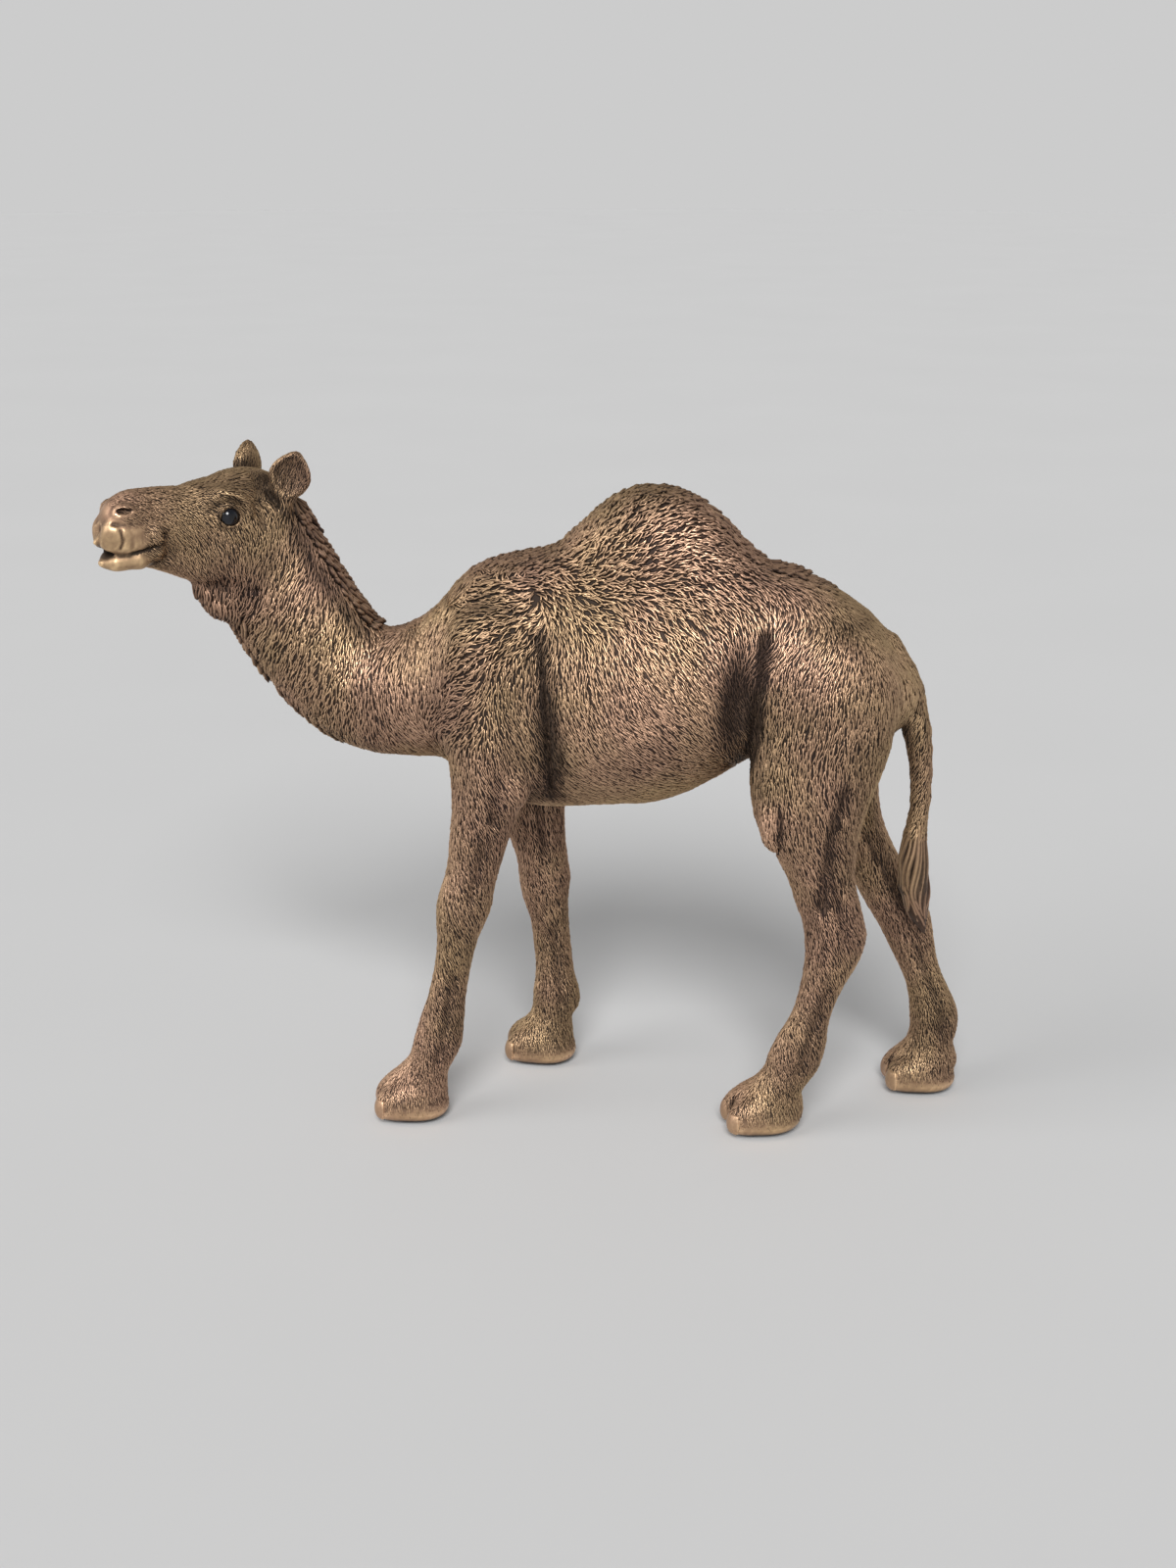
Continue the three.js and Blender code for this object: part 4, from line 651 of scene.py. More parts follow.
def skin_field(p):
    """The skin below the coat, with the folds and openings that show."""
    d = body_details(figure(p) + coat_depth(p), p)
    near = (to_head(p)[0] > -16) & (p[2] > HEAD_LOW) & (p[1] < HEAD_REAR)
    if near.any():
        d[near] = face_details(d[near], [x[near] for x in p])
    low = p[2] < FEET_ONLY
    if low.any():
        q = [x[low] for x in p]
        for name in FEET:
            t = toe_frame(q, name)
            d[low] = carve(d[low], egg(t, (0, 1.5, 3), (0.5, 8, 9)), 0.5)
            d[low] = carve(d[low], rod(t, (0, -1, 7), (0, 9.5, 13.4), 0.6, 0.2), 0.9)
            t[0] = np.abs(t[0])
            for a, b in zip(NAIL_EDGE[:-1], NAIL_EDGE[1:]):
                d[low] = carve(d[low], rod(t, a, b, 0.16, 0.16), 0.4)
    return carve(d, p[2], SOLE_ROUND)


# ---------------------------------------------------------------- meshing
def lines(start, *runs):
    """Grid lines from start, in runs of (end, step)."""
    out = [start]
    for end, step in runs:
        count = round((end - out[-1]) / step)
        out.extend(np.linspace(out[-1], end, count + 1)[1:])
    return np.array(out)


GRID = [                       # finer at the head and at the feet
    lines(-37.0, (41.0, 0.75)),
    lines(-144.0, (-84.0, 0.65), (121.0, 1.1)),
    lines(-1.6, (18.0, 0.8), (152.0, 1.25), (208.0, 0.65)),
]
BLOCK = 8


def sample(field, grid):
    """Values of the field on the grid, worked out only in the blocks that its surface may cross."""
    grid = [np.concatenate([g, g[-1] + np.arange(1, (-(len(g) - 1)) % BLOCK + 1) * 1.0]) for g in grid]
    shape = [len(g) for g in grid]
    values = np.full(shape, 50.0)
    blocks = [(n - 1) // BLOCK for n in shape]
    corners = np.indices(blocks).reshape(3, -1).T * BLOCK
    lo = np.stack([grid[i][corners[:, i]] for i in range(3)], 1)
    hi = np.stack([grid[i][corners[:, i] + BLOCK] for i in range(3)], 1)
    middle = (lo + hi) / 2
    reach = np.linalg.norm(hi - lo, axis=1) / 2
    coarse = field([middle[:, i].copy() for i in range(3)])
    offsets = np.indices((BLOCK + 1,) * 3).reshape(3, -1).T
    for corner, d in zip(corners[coarse < 0], coarse[coarse < 0]):
        span = tuple(slice(c, c + BLOCK + 1) for c in corner)
        values[span] = np.minimum(values[span], d)
    active = np.where(np.abs(coarse) < reach + 4)[0]
    for chunk in np.array_split(active, max(1, len(active) // 300)):
        at = corners[chunk][:, None, :] + offsets[None]
        points = [grid[i][at[..., i].ravel()] for i in range(3)]
        values[at[..., 0].ravel(), at[..., 1].ravel(), at[..., 2].ravel()] = field(points)
    return values, grid


def surface(field, grid):
    """Closed quad surface where the field is zero: one vertex for each grid cell that it crosses."""
    values, grid = sample(field, grid)
    solid = values < 0
    count = sum(
        solid[i:solid.shape[0] - 1 + i, j:solid.shape[1] - 1 + j, k:solid.shape[2] - 1 + k].astype(np.int8)
        for i in (0, 1) for j in (0, 1) for k in (0, 1))
    active = (count > 0) & (count < 8)
    cells = np.argwhere(active)
    index = np.full(active.shape, -1, np.int64)
    index[active] = np.arange(len(cells))
    total, weight = np.zeros((len(cells), 3)), np.zeros(len(cells))
    for axis in range(3):
        u, v = [other for other in range(3) if other != axis]
        for du, dv in ((0, 0), (0, 1), (1, 0), (1, 1)):
            a = cells.copy()
            a[:, u] += du
            a[:, v] += dv
            b = a.copy()
            b[:, axis] += 1
            va, vb = values[tuple(a.T)], values[tuple(b.T)]
            crossed = (va < 0) != (vb < 0)
            t = np.where(crossed, va / (va - vb + 1e-12), 0)
            pa = np.stack([grid[i][a[:, i]] for i in range(3)], 1)
            pa[:, axis] += t * (grid[axis][b[:, axis]] - pa[:, axis])
            total += pa * crossed[:, None]
            weight += crossed
    points = total / weight[:, None]
    quads = []
    for axis in range(3):
        u, v = [other for other in range(3) if other != axis]
        first = [slice(1, -1)] * 3
        first[axis] = slice(0, -1)
        second = list(first)
        second[axis] = slice(1, None)
        edges = np.argwhere(solid[tuple(first)] != solid[tuple(second)])
        step = np.array([1, 1, 1])
        step[axis] = 0
        edges = edges + step
        ring = []
        for du, dv in ((-1, -1), (0, -1), (0, 0), (-1, 0)):
            e = edges.copy()
            e[:, u] += du
            e[:, v] += dv
            ring.append(index[tuple(e.T)])
        ring = np.stack(ring, 1)
        outward = solid[tuple(edges.T)] ^ (axis == 1)
        ring[~outward] = ring[~outward][:, ::-1]
        quads.append(ring)
    return points, np.concatenate(quads)


def vertex_normals(points, quads):
    a, b, c, d = (points[quads[:, i]] for i in range(4))
    face = np.cross(c - a, d - b)
    normals = np.zeros_like(points)
    for i in range(4):
        np.add.at(normals, quads[:, i], face)
    return normals / np.maximum(np.linalg.norm(normals, axis=1), 1e-9)[:, None]


def columns(points):
    """Rows of points as separate x, y and z, as the fields take them."""
    return [points[:, i].copy() for i in range(3)]


def settle(field, points, normals, limit=0.5, probe=0.08):
    """Moves the vertices along their normals onto the zero surface."""
    here = field(columns(points))
    slope = (field(columns(points + normals * probe)) - here) / probe
    move = np.clip(here / np.maximum(slope, 0.3), -limit, limit)
    return points - normals * move[:, None]


# ---------------------------------------------------------------- blender pieces
def to_frame(points):
    return (points + SHIFT) * MM


def new_object(name, data):
    """Object for a mesh, light or camera, linked into the scene."""
    made = bpy.data.objects.new(name, data)
    bpy.context.scene.collection.objects.link(made)
    return made


def make_mesh(name, points, faces, attributes, uv=None):
    """Smooth mesh piece from arrays; faces all have the same number of corners."""
    mesh = bpy.data.meshes.new(name)
    count, corners = faces.shape
    mesh.vertices.add(len(points))
    mesh.vertices.foreach_set("co", to_frame(points).astype(np.float32).ravel())
    mesh.loops.add(count * corners)
    mesh.loops.foreach_set("vertex_index", faces.astype(np.int32).ravel())
    mesh.polygons.add(count)
    mesh.polygons.foreach_set("loop_start", np.arange(count, dtype=np.int32) * corners)
    mesh.update(calc_edges=True)
    mesh.polygons.foreach_set("use_smooth", np.ones(count, bool))
    for key, values in attributes.items():
        layer = mesh.attributes.new(key, "FLOAT", "POINT")
        layer.data.foreach_set("value", values.astype(np.float32))
    if uv is not None:
        layer = mesh.uv_layers.new(name="OFBake")
        layer.data.foreach_set("uv", uv[faces.ravel()].astype(np.float32).ravel())
    mesh.validate()
    return new_object(name, mesh)


def tube_faces(rings, sides):
    """Triangles of a closed tube: a point, rings of vertices one after another, and a point."""
    faces, last = [], 1 + rings * sides
    for j in range(sides):
        k = (j + 1) % sides
        faces.append((0, 1 + k, 1 + j))
        for a in range(1, last - sides, sides):
            b = a + sides
            faces.append((a + j, a + k, b + k))
            faces.append((a + j, b + k, b + j))
        faces.append((last - sides + j, last - sides + k, last))
    return np.array(faces)


def finish_piece(piece, material):
    """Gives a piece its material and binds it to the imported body."""
    piece.data.materials.append(material)
    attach(piece, "root")
    return piece


# ---------------------------------------------------------------- the skin
def on_tail(x, y, z, top):
    """Whether a place belongs to the hanging tail below a height."""
    return (y > TAIL_FROM) & (np.abs(x) < TAIL_REACH) & (z < top)


def bareness(p):
    """Where the casting is smooth, with no strokes of hair: 1 bare, 0 covered."""
    q = to_head(p)
    s, w, v = q[0], np.abs(q[1]), q[2]
    on_head = (p[1] < HEAD_REAR - 4) & (p[2] > HEAD_LOW)
    # The muzzle from the mouth's corner forwards, the chin, the eyelids and the nostril, in head terms
    lips = ramp(s, 20, 27) * (1 - ramp(v, -1.5, 4.5)) + ramp(s, 29, 34)
    chin = ramp(s, 16, 25) * (1 - ramp(v, -12, -8))
    lid = 1 - ramp(np.sqrt((s - EYE[0])**2 + (v - EYE[2])**2), 3.2, 3.9)
    lid = lid * (w > 6) * 0.8
    nostril = 1 - ramp(np.hypot(s - 30.5, v - 4.1), 2.8, 4.6)
    face = np.clip(np.maximum.reduce([lips, chin, lid, 0.7 * nostril]), 0, 1) * on_head
    feet = 1 - ramp(p[2], 3.5, 12)
    nails = np.zeros(s.shape)
    for name in FEET:
        t = toe_frame(p, name)
        nails = np.maximum(nails, (np.abs(t[0]) < 10) * (t[1] < 2.9) * (t[1] > -3) * (1 - ramp(t[2], 8, 9)))
    tuft = 0.4 * on_tail(*p, TASSEL_TOP) * (1 - ramp(p[2], TASSEL_TOP - 6, TASSEL_TOP - 2)) * (p[2] > 50)
    return np.clip(np.maximum.reduce([face, feet, nails, tuft]), 0, 1)


# Painted shade: skin and strokes are darkened by how deep they lie in a fold, as occlusion would shade them
CAVITY_PROBES = [(1.2, 0.25), (4.0, 0.4), (9.0, 0.35)]     # distance out of the skin, share in the result
CAVITY_GAIN, DARKEST = 1.6, 1.35


def cavity(points, normals):
    """How far a point lies in a fold: 0 open, 1 deep."""
    total = 0
    for out, share in CAVITY_PROBES:
        d = figure(columns(points + normals * out))
        total = total + share * np.clip(1 - d / out, 0, 1)
    return np.clip(total * CAVITY_GAIN, 0, 1)


# Painted shade along the folds and hollows on both sides, deepening the patina that gathers there: the line,
# its reach and its darkness
DARK_FORE = [
    (ELBOW_FOLD, 2.6, 1.15), (ELBOW_FOLD, 7.0, 0.5),
    ([(6.5, -88.5, 181), (6.5, -79, 165), (6.5, -67, 147)], 3.5, 0.5),      # beside the mane
]
DARK_HIND = [
    (FLANK_FOLD, 3.4, 1.35), (STIFLE_FOLD, 1.2, 0.6), (GASKIN_FOLD, 3.0, 0.3),
    ([(26, 48, 152), (26, 46.5, 138), (25, 46, 122)], 8.5, 0.85),           # hollow before the thigh
    ([(20, 55, 174), (24, 54, 160)], 6.0, 0.5),                             # above it
]
# Painted shade of the face: before and above the eye, below the jaw, along the mouth and behind its corner,
# and round the root of the ear
DARK_FACE = [
    ([(5.4, 10.5, 1.2), (3.6, 11.5, 4.0), (0.2, 12, 4.6), (-2.6, 12.4, 3.6)], 2.0, 1.0),
    ([(6.0, 10.5, 2.6), (4.8, 11, 4.2)], 3.0, 0.8), ([(6.2, 10.6, -0.8), (3.4, 12, -0.6)], 1.5, 1.0),
    ([(12, 6, -19.8), (2, 9, -22), (-8, 10, -22.8)], 2.2, 0.6), (MOUTH, 0.85, 1.0),
    ([(-13.4, 9, 5), (-16, 12, 0.4), (-21, 12.6, 0)], 2.6, 0.8),
    ([(-11.5, 10, 9), (-12.6, 9.6, 5)], 2.4, 0.5),
    ([(20.2, 8.4, -0.8), (18.4, 8.4, -3.2), (18.8, 8, -6.2)], 1.3, 1.0),
]


def painted_fold_shade(p):
    """Painted shade in the sheltered folds and hollows, over the patina there: 0 none, 1 or more full."""
    total = np.zeros(p[0].shape)
    for folds, place in ((DARK_FORE, fore_side(p)), (DARK_HIND, hind_side(p)), (DARK_FACE, both(to_head(p)))):
        for points, spread, depth in folds:
            total = np.maximum(total, depth * (1 - ramp(polyline(place, points, 0, 0), 0.2 * spread, spread)))
    return total


skin_points, skin_quads = surface(skin_field, GRID)
skin_normals = vertex_normals(skin_points, skin_quads)
for _ in range(2):
    skin_points = settle(skin_field, skin_points, skin_normals)
    skin_normals = vertex_normals(skin_points, skin_quads)
skin_bare = bareness(columns(skin_points))
# Painted shade of the skin: occlusion darkening of the folds plus the painted shade along the named folds
skin_shade = np.clip(cavity(skin_points, skin_normals) + painted_fold_shade(columns(skin_points)), 0, DARKEST)

# ---------------------------------------------------------------- strokes of the coat
def search_tree(points):
    """Tree that finds the nearest of the points."""
    made = KDTree(len(points))
    for i, point in enumerate(points):
        made.insert(point, i)
    made.balance()
    return made


skin_tree = search_tree(skin_points)


CHUNK = 20000                  # places worked out at a time


def blend_strokes(rows, u, v, soft):
    """Direction and size at (u, v) from the strokes around it."""
    table = np.array(rows, float)
    angle = np.radians(table[:, 2])
    out = np.zeros((len(u), 3))
    for start in range(0, len(u), CHUNK):
        part = slice(start, start + CHUNK)
        gap = (u[part, None] - table[:, 0])**2 + (v[part, None] - table[:, 1])**2
        weight = 1 / (gap + soft**2)**2
        weight /= weight.sum(1)[:, None]
        out[part, 0] = weight @ np.cos(angle)
        out[part, 1] = weight @ np.sin(angle)
        out[part, 2] = weight @ table[:, 3]
    return out


def lie(points, normals):
    """Unit direction of the coat along the skin, and the size of its strokes."""
    body = blend_strokes(BODY_STROKES, points[:, 1], points[:, 2], 3.0)
    flow = np.stack([np.zeros(len(points)), body[:, 0], body[:, 1]], 1)
    q = to_head(columns(points))
    face = blend_strokes(HEAD_STROKES, q[0], q[2], 2.0)
    face_flow = face[:, :1] * FORWARD + face[:, 1:2] * UP
    on_head = ramp(q[0], FACE_BACK - 5, FACE_BACK + 5) * (points[:, 1] < HEAD_REAR)
    on_head *= ramp(points[:, 2], BEARD_LEVEL, BEARD_LEVEL + 8)
    flow = flow * (1 - on_head)[:, None] + face_flow * on_head[:, None]
    size = body[:, 2] * (1 - on_head) + face[:, 2] * on_head
    for side in (-1, 1):
        r = [q[i] - EARS[side][i] for i in range(3)]
        on_ear = (r[2] > 1) & (np.abs(r[0]) < EAR_REACH) & (np.abs(r[1]) < EAR_REACH)
        on_ear &= points[:, 2] > EAR_LOW
        _, _, up = ear_axes(side)
        flow[on_ear] = up[0] * FORWARD + up[1] * LEFT + up[2] * UP
        size[on_ear] = EAR_STROKE
    flow -= (flow * normals).sum(1)[:, None] * normals
    length = np.linalg.norm(flow, axis=1)
    spare = np.cross(normals, [1.0, 0.0, 0.0])
    flow = np.where(length[:, None] < 0.05, spare, flow)
    return flow / np.maximum(np.linalg.norm(flow, axis=1), 1e-9)[:, None], size


def random_roots(count, chance):
    """Random places on the skin, more of them where chance is high."""
    a, b, c, d = (skin_points[skin_quads[:, i]] for i in range(4))
    area = np.linalg.norm(np.cross(c - a, d - b), axis=1) / 2
    weight = area * chance[skin_quads].mean(1)
    picked = rng.choice(len(skin_quads), count, p=weight / weight.sum())
    u, v = rng.random((2, count, 1))
    corners = [skin_points[skin_quads[picked, i]] for i in range(4)]
    normals = [skin_normals[skin_quads[picked, i]] for i in range(4)]
    mix = [(1 - u) * (1 - v), u * (1 - v), u * v, (1 - u) * v]
    points = sum(m * x for m, x in zip(mix, corners))
    normal = sum(m * x for m, x in zip(mix, normals))
    return points, normal / np.linalg.norm(normal, axis=1)[:, None]


def thin_out(points, flow, across, half_length, half_width):
    """Keeps places that are at least a stroke's spacing apart, along and across the coat."""
    places = search_tree(points)
    alive = np.ones(len(points), bool)
    kept = []
    for i in range(len(points)):
        if not alive[i]:
            continue
        kept.append(i)
        near = np.array([hit[1] for hit in places.find_range(points[i], half_length[i])])
        gap = points[near] - points[i]
        apart = (gap @ flow[i] / half_length[i])**2 + (gap @ across[i] / half_width[i])**2
        alive[near[apart < 1]] = False
    return np.array(kept)


def reach(size):
    """Length of a stroke of a size."""
    return STROKE_LENGTH * np.minimum(size, 1)**SHORTENING * np.maximum(size, 1)**STRETCH


# Shape of a stroke along its length: share of the length, width, height
PROFILE = [(0.0, 0.0, -0.4), (0.18, 0.8, 0.5), (0.5, 1.0, 0.85), (0.82, 0.7, 1.0), (1.0, 0.0, 0.35)]
SMALL_PROFILE = [(0.0, 0.0, -0.4), (0.3, 0.95, 0.75), (0.75, 0.8, 1.0), (1.0, 0.0, 0.3)]
EDGE_SINK = 0.16               # how far a stroke's edges lie in the skin
EDGE_LIFT = 0.6                # share of a stroke's lift that its edges follow
ROOT_SHARE = 0.4               # share of a stroke that lies behind its place
GROOVE, TIP = -0.25, 0.55      # wear at the foot and at the tip of a stroke, where its crest has 1


def on_skin(points):
    """Each point moved onto the skin, the normal there, and the number of the nearest skin vertex."""
    found = np.array([skin_tree.find(point)[1] for point in points])
    normal = skin_normals[found]
    height = ((points - skin_points[found]) * normal).sum(1)
    return points - normal * height[:, None], normal, found


def stroke_arrays(strokes, profile):
    """Vertices and triangles of many thin closed strokes lying along the skin.

    Each has rings of a left edge, a crest and a right edge between two pointed ends.
    """
    place, flow, length, width, relief, lift, wave = strokes
    count = len(place)
    points, crest = [], []
    phase = rng.uniform(0, math.tau, count)
    for t, wide, high in profile:
        bend = wave * (np.sin(phase + t * math.tau * 0.8) - np.sin(phase))
        _, normal, _ = on_skin(place)
        across = np.cross(normal, flow)
        centre = place + flow * ((t - ROOT_SHARE) * length)[:, None] + across * bend[:, None]
        centre, normal, _ = on_skin(centre)
        across = np.cross(normal, flow)
        across /= np.linalg.norm(across, axis=1)[:, None]
        raised = lift * t * t
        rise = normal * (relief * high + raised)[:, None]
        if wide == 0:
            points.append(centre + rise)
            crest.append(TIP if t else 0.0)
            continue
        edge = across * (width * wide / 2)[:, None]
        sunk = normal * (raised * EDGE_LIFT - EDGE_SINK)[:, None]
        points += [centre - edge + sunk, centre + rise, centre + edge + sunk]
        crest += [GROOVE, 1.0, GROOVE]
    per = len(points)
    points = np.stack(points, 1).reshape(-1, 3)
    faces = (tube_faces(len(profile) - 2, 3)[None] + np.arange(count)[:, None, None] * per).reshape(-1, 3)
    return points, faces, np.tile(crest, count), per


# Where one coat piece gives way to the next: y of shoulder and flank, flank and rump, fore and hind leg,
# and neck and body; z of the legs' tops and of the back's lower edge
FLANK_FROM, RUMP_FROM, HIND_FROM, NECK_TO = -8.0, 48.0, 36.0, -48.0
LEGS_TO, BACK_FROM = 97.0, 168.0


def coat_part(points):
    """Name of the coat piece that each place belongs to."""
    q = to_head(columns(points))
    x, y, z = points.T
    on_head = (q[0] > FACE_BACK) & (z > BEARD_LEVEL) & (y < HEAD_REAR)
    side = np.where(np.where(on_head, q[1], x) >= 0, "left", "right")
    name = np.where(y < FLANK_FROM, "shoulder", np.where(y < RUMP_FROM, "flank", "rump")).astype("U12")
    name[(z > BACK_FROM) & (y > NECK_TO)] = "back"
    name[y < NECK_TO] = "neck"
    name[(z < LEGS_TO) & (y < HIND_FROM)] = "foreleg"
    name[(z < LEGS_TO) & (y >= HIND_FROM)] = "hindleg"
    name[on_head] = "head"
    name = np.char.add(np.char.add(name, "_"), side)
    name[on_tail(x, y, z, TAIL_FREE)] = "tail"
    return name


PATCH = 0.003                  # size of one stroke's patch on its map
# Where the map of each kind of part starts along it, and the length it covers
MAP_SPAN = {"head": (-45, 90), "leg": (-5, 120), "tail": (50, 110), "body": (-140, 260)}
BARREL_MIDDLE, HEAD_MIDDLE = 133.0, -4.0       # heights that the maps of body and head turn about


def unwrap(part, points):
    """Places on an unwrap of the skin: angle about the part's own middle, and distance along it."""
    x, y, z = points.T
    kind, along = part.split("_")[0], z
    if kind == "head":
        along, w, v = to_head(columns(points))
        angle = np.arctan2(w, v - HEAD_MIDDLE)
    elif kind == "tail":
        middle = np.interp(-z, [-row[1] for row in TAIL], [row[0] for row in TAIL])
        angle = np.arctan2(x, y - middle)
    elif part in LEGS:
        front, back, cx, _ = np.moveaxis(leg_at[part](z), -1, 0)
        angle, kind = np.arctan2(x - cx, y - (front + back) / 2), "leg"
    else:
        angle, along, kind = np.arctan2(x, z - BARREL_MIDDLE), y, "body"
    start, span = MAP_SPAN[kind]
    return np.stack([0.5 + angle / math.tau, (along - start) / span], 1)


def patch_map(part, roots, per):
    """Map for strokes with per vertices each: a small patch at the root's place."""
    place = np.clip(unwrap(part, roots), PATCH, 1 - PATCH)
    turn = np.linspace(0, math.tau, per, endpoint=False)
    patch = np.stack([np.cos(turn), np.sin(turn)], 1) * PATCH / 2
    return (place[:, None] + patch[None]).reshape(-1, 2)


CANDIDATES = 420000
# Sizes below which a stroke has fewer rings, and above which it is coarse: wider, more lifted and more waved
SMALL, COARSE = 0.8, 1.12
SPACING, COARSE_SPACING = 0.6, 0.5     # least gap between strokes side by side, as a share of their width
OVERLAP = 0.37                 # least gap between strokes in line, as a share of their length
# Ranges of the random shares of a stroke's size, length, width and relief
SIZE_SPREAD, LENGTH_SPREAD, WIDTH_SPREAD, RELIEF_SPREAD = (0.9, 1.12), (0.85, 1.25), (0.88, 1.2), (0.7, 1.2)
SWING, COARSE_SWING = 8, 7             # degrees that strokes stray from the lie of the coat
COARSE_WIDENING = 1.12


def short_strokes():
    """The even cover: places, flow, length, width, relief, lift and wave of its strokes."""
    _, size = lie(skin_points, skin_normals)
    x, y, z = skin_points.T
    open_skin = (z > 1.5) & ~on_tail(x, y, z, TASSEL_TOP - 3)          # neither the soles nor the tuft
    chance = np.clip(1.1 - skin_bare * 1.2, 0, 1) / (reach(size) * size) * open_skin
    place, normals = random_roots(CANDIDATES, chance)
    flow, size = lie(place, normals)
    size = size * rng.uniform(*SIZE_SPREAD, len(size))
    swing = rng.normal(0, 1, len(size)) * np.radians(np.where(size > COARSE, COARSE_SWING, SWING))
    flow = flow * np.cos(swing)[:, None] + np.cross(normals, flow) * np.sin(swing)[:, None]
    across = np.cross(normals, flow)
    spacing = np.where(size > COARSE, COARSE_SPACING, SPACING)
    kept = thin_out(place, flow, across, reach(size) * OVERLAP, STROKE_WIDTH * size * spacing)
    place, flow, size = place[kept], flow[kept], size[kept]
    bare = skin_bare[on_skin(place)[2]]
    count, coarse = len(size), size > COARSE
    length = reach(size) * rng.uniform(*LENGTH_SPREAD, count)
    width = STROKE_WIDTH * size * rng.uniform(*WIDTH_SPREAD, count) * np.where(coarse, COARSE_WIDENING, 1)
    relief = RELIEF * size**1.1 * rng.uniform(*RELIEF_SPREAD, count) * (1 - 0.8 * bare)
    lift = np.where(coarse, 0.3, 0.08) * rng.uniform(0, 1, count)
    wave = width * np.where(coarse, rng.uniform(0.2, 0.5, count), rng.uniform(0.1, 0.35, count))
    return place, flow, length, width, relief, lift, wave


# Rows of heavier locks down the middle line: start, end, number, direction, then length, width, relief, lift
# and spread to both sides
LOCK_ROWS = [
    ((-86.4, 187.5), (-76, 170.5), 9, -42, 5.4, 1.9, 1.2, 1.0, 4.2),        # mane
    ((-76, 170.5), (-63.3, 151), 11, -44, 5.4, 1.9, 1.2, 1.1, 4.4),
    ((-60, 150.5), (-42, 160), 12, -5, 4.2, 1.2, 0.5, 0.3, 4.5),            # dip before the withers
    ((-36, 168), (-8, 175.5), 13, 14, 4.6, 1.4, 0.7, 0.7, 5),               # withers
    ((-6, 177), (10, 193), 10, 40, 4.4, 1.4, 0.8, 0.7, 5),                  # hump
    ((12, 195), (34, 191), 11, 8, 4.4, 1.4, 0.8, 0.7, 5),
    ((36, 189.5), (52, 174), 9, -34, 4.8, 1.5, 0.8, 0.7, 5),
    ((54, 172), (64, 169), 6, -20, 5, 1.7, 1.0, 0.9, 4.5),                  # behind the hump
    ((66, 168.5), (72, 166), 4, -26, 4.6, 1.5, 0.55, 0.5, 4),
    ((-113, 152.5), (-100, 132), 11, -75, 5.6, 1.7, 1.1, 1.3, 5.5),         # front of the neck
    ((-98, 130), (-76, 116), 10, -70, 5.2, 1.5, 0.8, 0.8, 5.5),
]
# The same under the jaw, in head terms: forwards and up
BEARD_ROWS = [
    ((7, -22), (4.5, -26), 4, -80, 5, 1.6, 1.0, 1.3, 4),
    ((3.5, -27), (-1.5, -31), 5, -76, 5.4, 1.7, 1.1, 1.5, 4.5),
    ((-2, -31), (-5.5, -36), 5, -80, 5.4, 1.7, 1.0, 1.4, 5),
]


LOCKS_ABREAST, LOCK_WAVE, LOCK_SPLAY = 7, 0.3, 0.35


def row_of_locks(a, b, count, turn, spread, along, up, origin, sideways):
    """Places and flow of locks along the line a-b, scattered to both sides of it."""
    number = np.arange(count * LOCKS_ABREAST)
    share = (number % count + rng.uniform(-0.4, 0.4, len(number))) / count
    aside = (number // count - (LOCKS_ABREAST - 1) / 2) / (LOCKS_ABREAST - 1) * 2 * spread
    aside = aside + rng.uniform(-0.35, 0.35, len(number)) * spread / LOCKS_ABREAST * 2
    here = np.array(a, float) + share[:, None] * (np.array(b, float) - np.array(a, float))
    place = origin + here[:, :1] * along + here[:, 1:] * up + aside[:, None] * sideways
    place, normal, _ = on_skin(place)
    angle = np.radians(turn + rng.uniform(-9, 9, len(place)))
    flow = np.cos(angle)[:, None] * along + np.sin(angle)[:, None] * up
    flow = flow + (aside / spread * LOCK_SPLAY)[:, None] * sideways
    flow -= (flow * normal).sum(1)[:, None] * normal
    return place, flow / np.linalg.norm(flow, axis=1)[:, None]


def heavy_locks():
    """Mane, throat, withers, hump and croup: locks that break the outline."""
    groups = []
    x, y, z = np.eye(3)
    for rows, frame_of in ((LOCK_ROWS, (y, z, np.zeros(3), x)),
                           (BEARD_ROWS, (FORWARD, UP, np.array(HEAD_AT), LEFT))):
        for a, b, count, turn, length, width, relief, lift, spread in rows:
            place, flow = row_of_locks(a, b, count, turn, spread, *frame_of)
            vary = rng.uniform(0.8, 1.2, (4, len(place)))
            sizes = np.array([length, width, relief, lift])[:, None] * vary
            groups.append((place, flow, *sizes, np.full(len(place), LOCK_WAVE)))
    return tuple(np.concatenate(values) for values in zip(*groups))


def add_coat(material):
    """Both kinds of strokes, in one piece for each part of the body."""
    for kind, strokes in (("coat_", short_strokes()), ("locks_", heavy_locks())):
        place, width = strokes[0], strokes[3]
        part = coat_part(place)
        # Painted shade of the skin under each stroke's place, and coarse strokes darker
        shade = skin_shade[on_skin(place)[2]] + np.where(width > STROKE_WIDTH * COARSE, 0.15, 0)
        small = width < STROKE_WIDTH * SMALL
        for name in sorted(set(part)):
            pieces = []
            for profile, fits in ((SMALL_PROFILE, small), (PROFILE, ~small)):
                of = (part == name) & fits
                if not of.any():
                    continue
                points, faces, crest, per = stroke_arrays([v[of] for v in strokes], profile)
                tone = np.repeat(rng.uniform(0, 1, of.sum()), per)
                pieces.append((points, faces, crest, tone, np.repeat(shade[of], per),
                               patch_map(name, place[of], per)))
            before = np.cumsum([0] + [len(piece[0]) for piece in pieces])
            faces = np.concatenate([piece[1] + start for piece, start in zip(pieces, before)])
            points, _, crest, tone, shades, uv = (np.concatenate(values) for values in zip(*pieces))
            attributes = {"crest": crest, "tone": tone, "shade": shades}
            finish_piece(make_mesh(kind + name, points, faces, attributes, uv), material)


STRANDS, STRAND_STEPS, STRAND_SIDES = 20, 22, 8


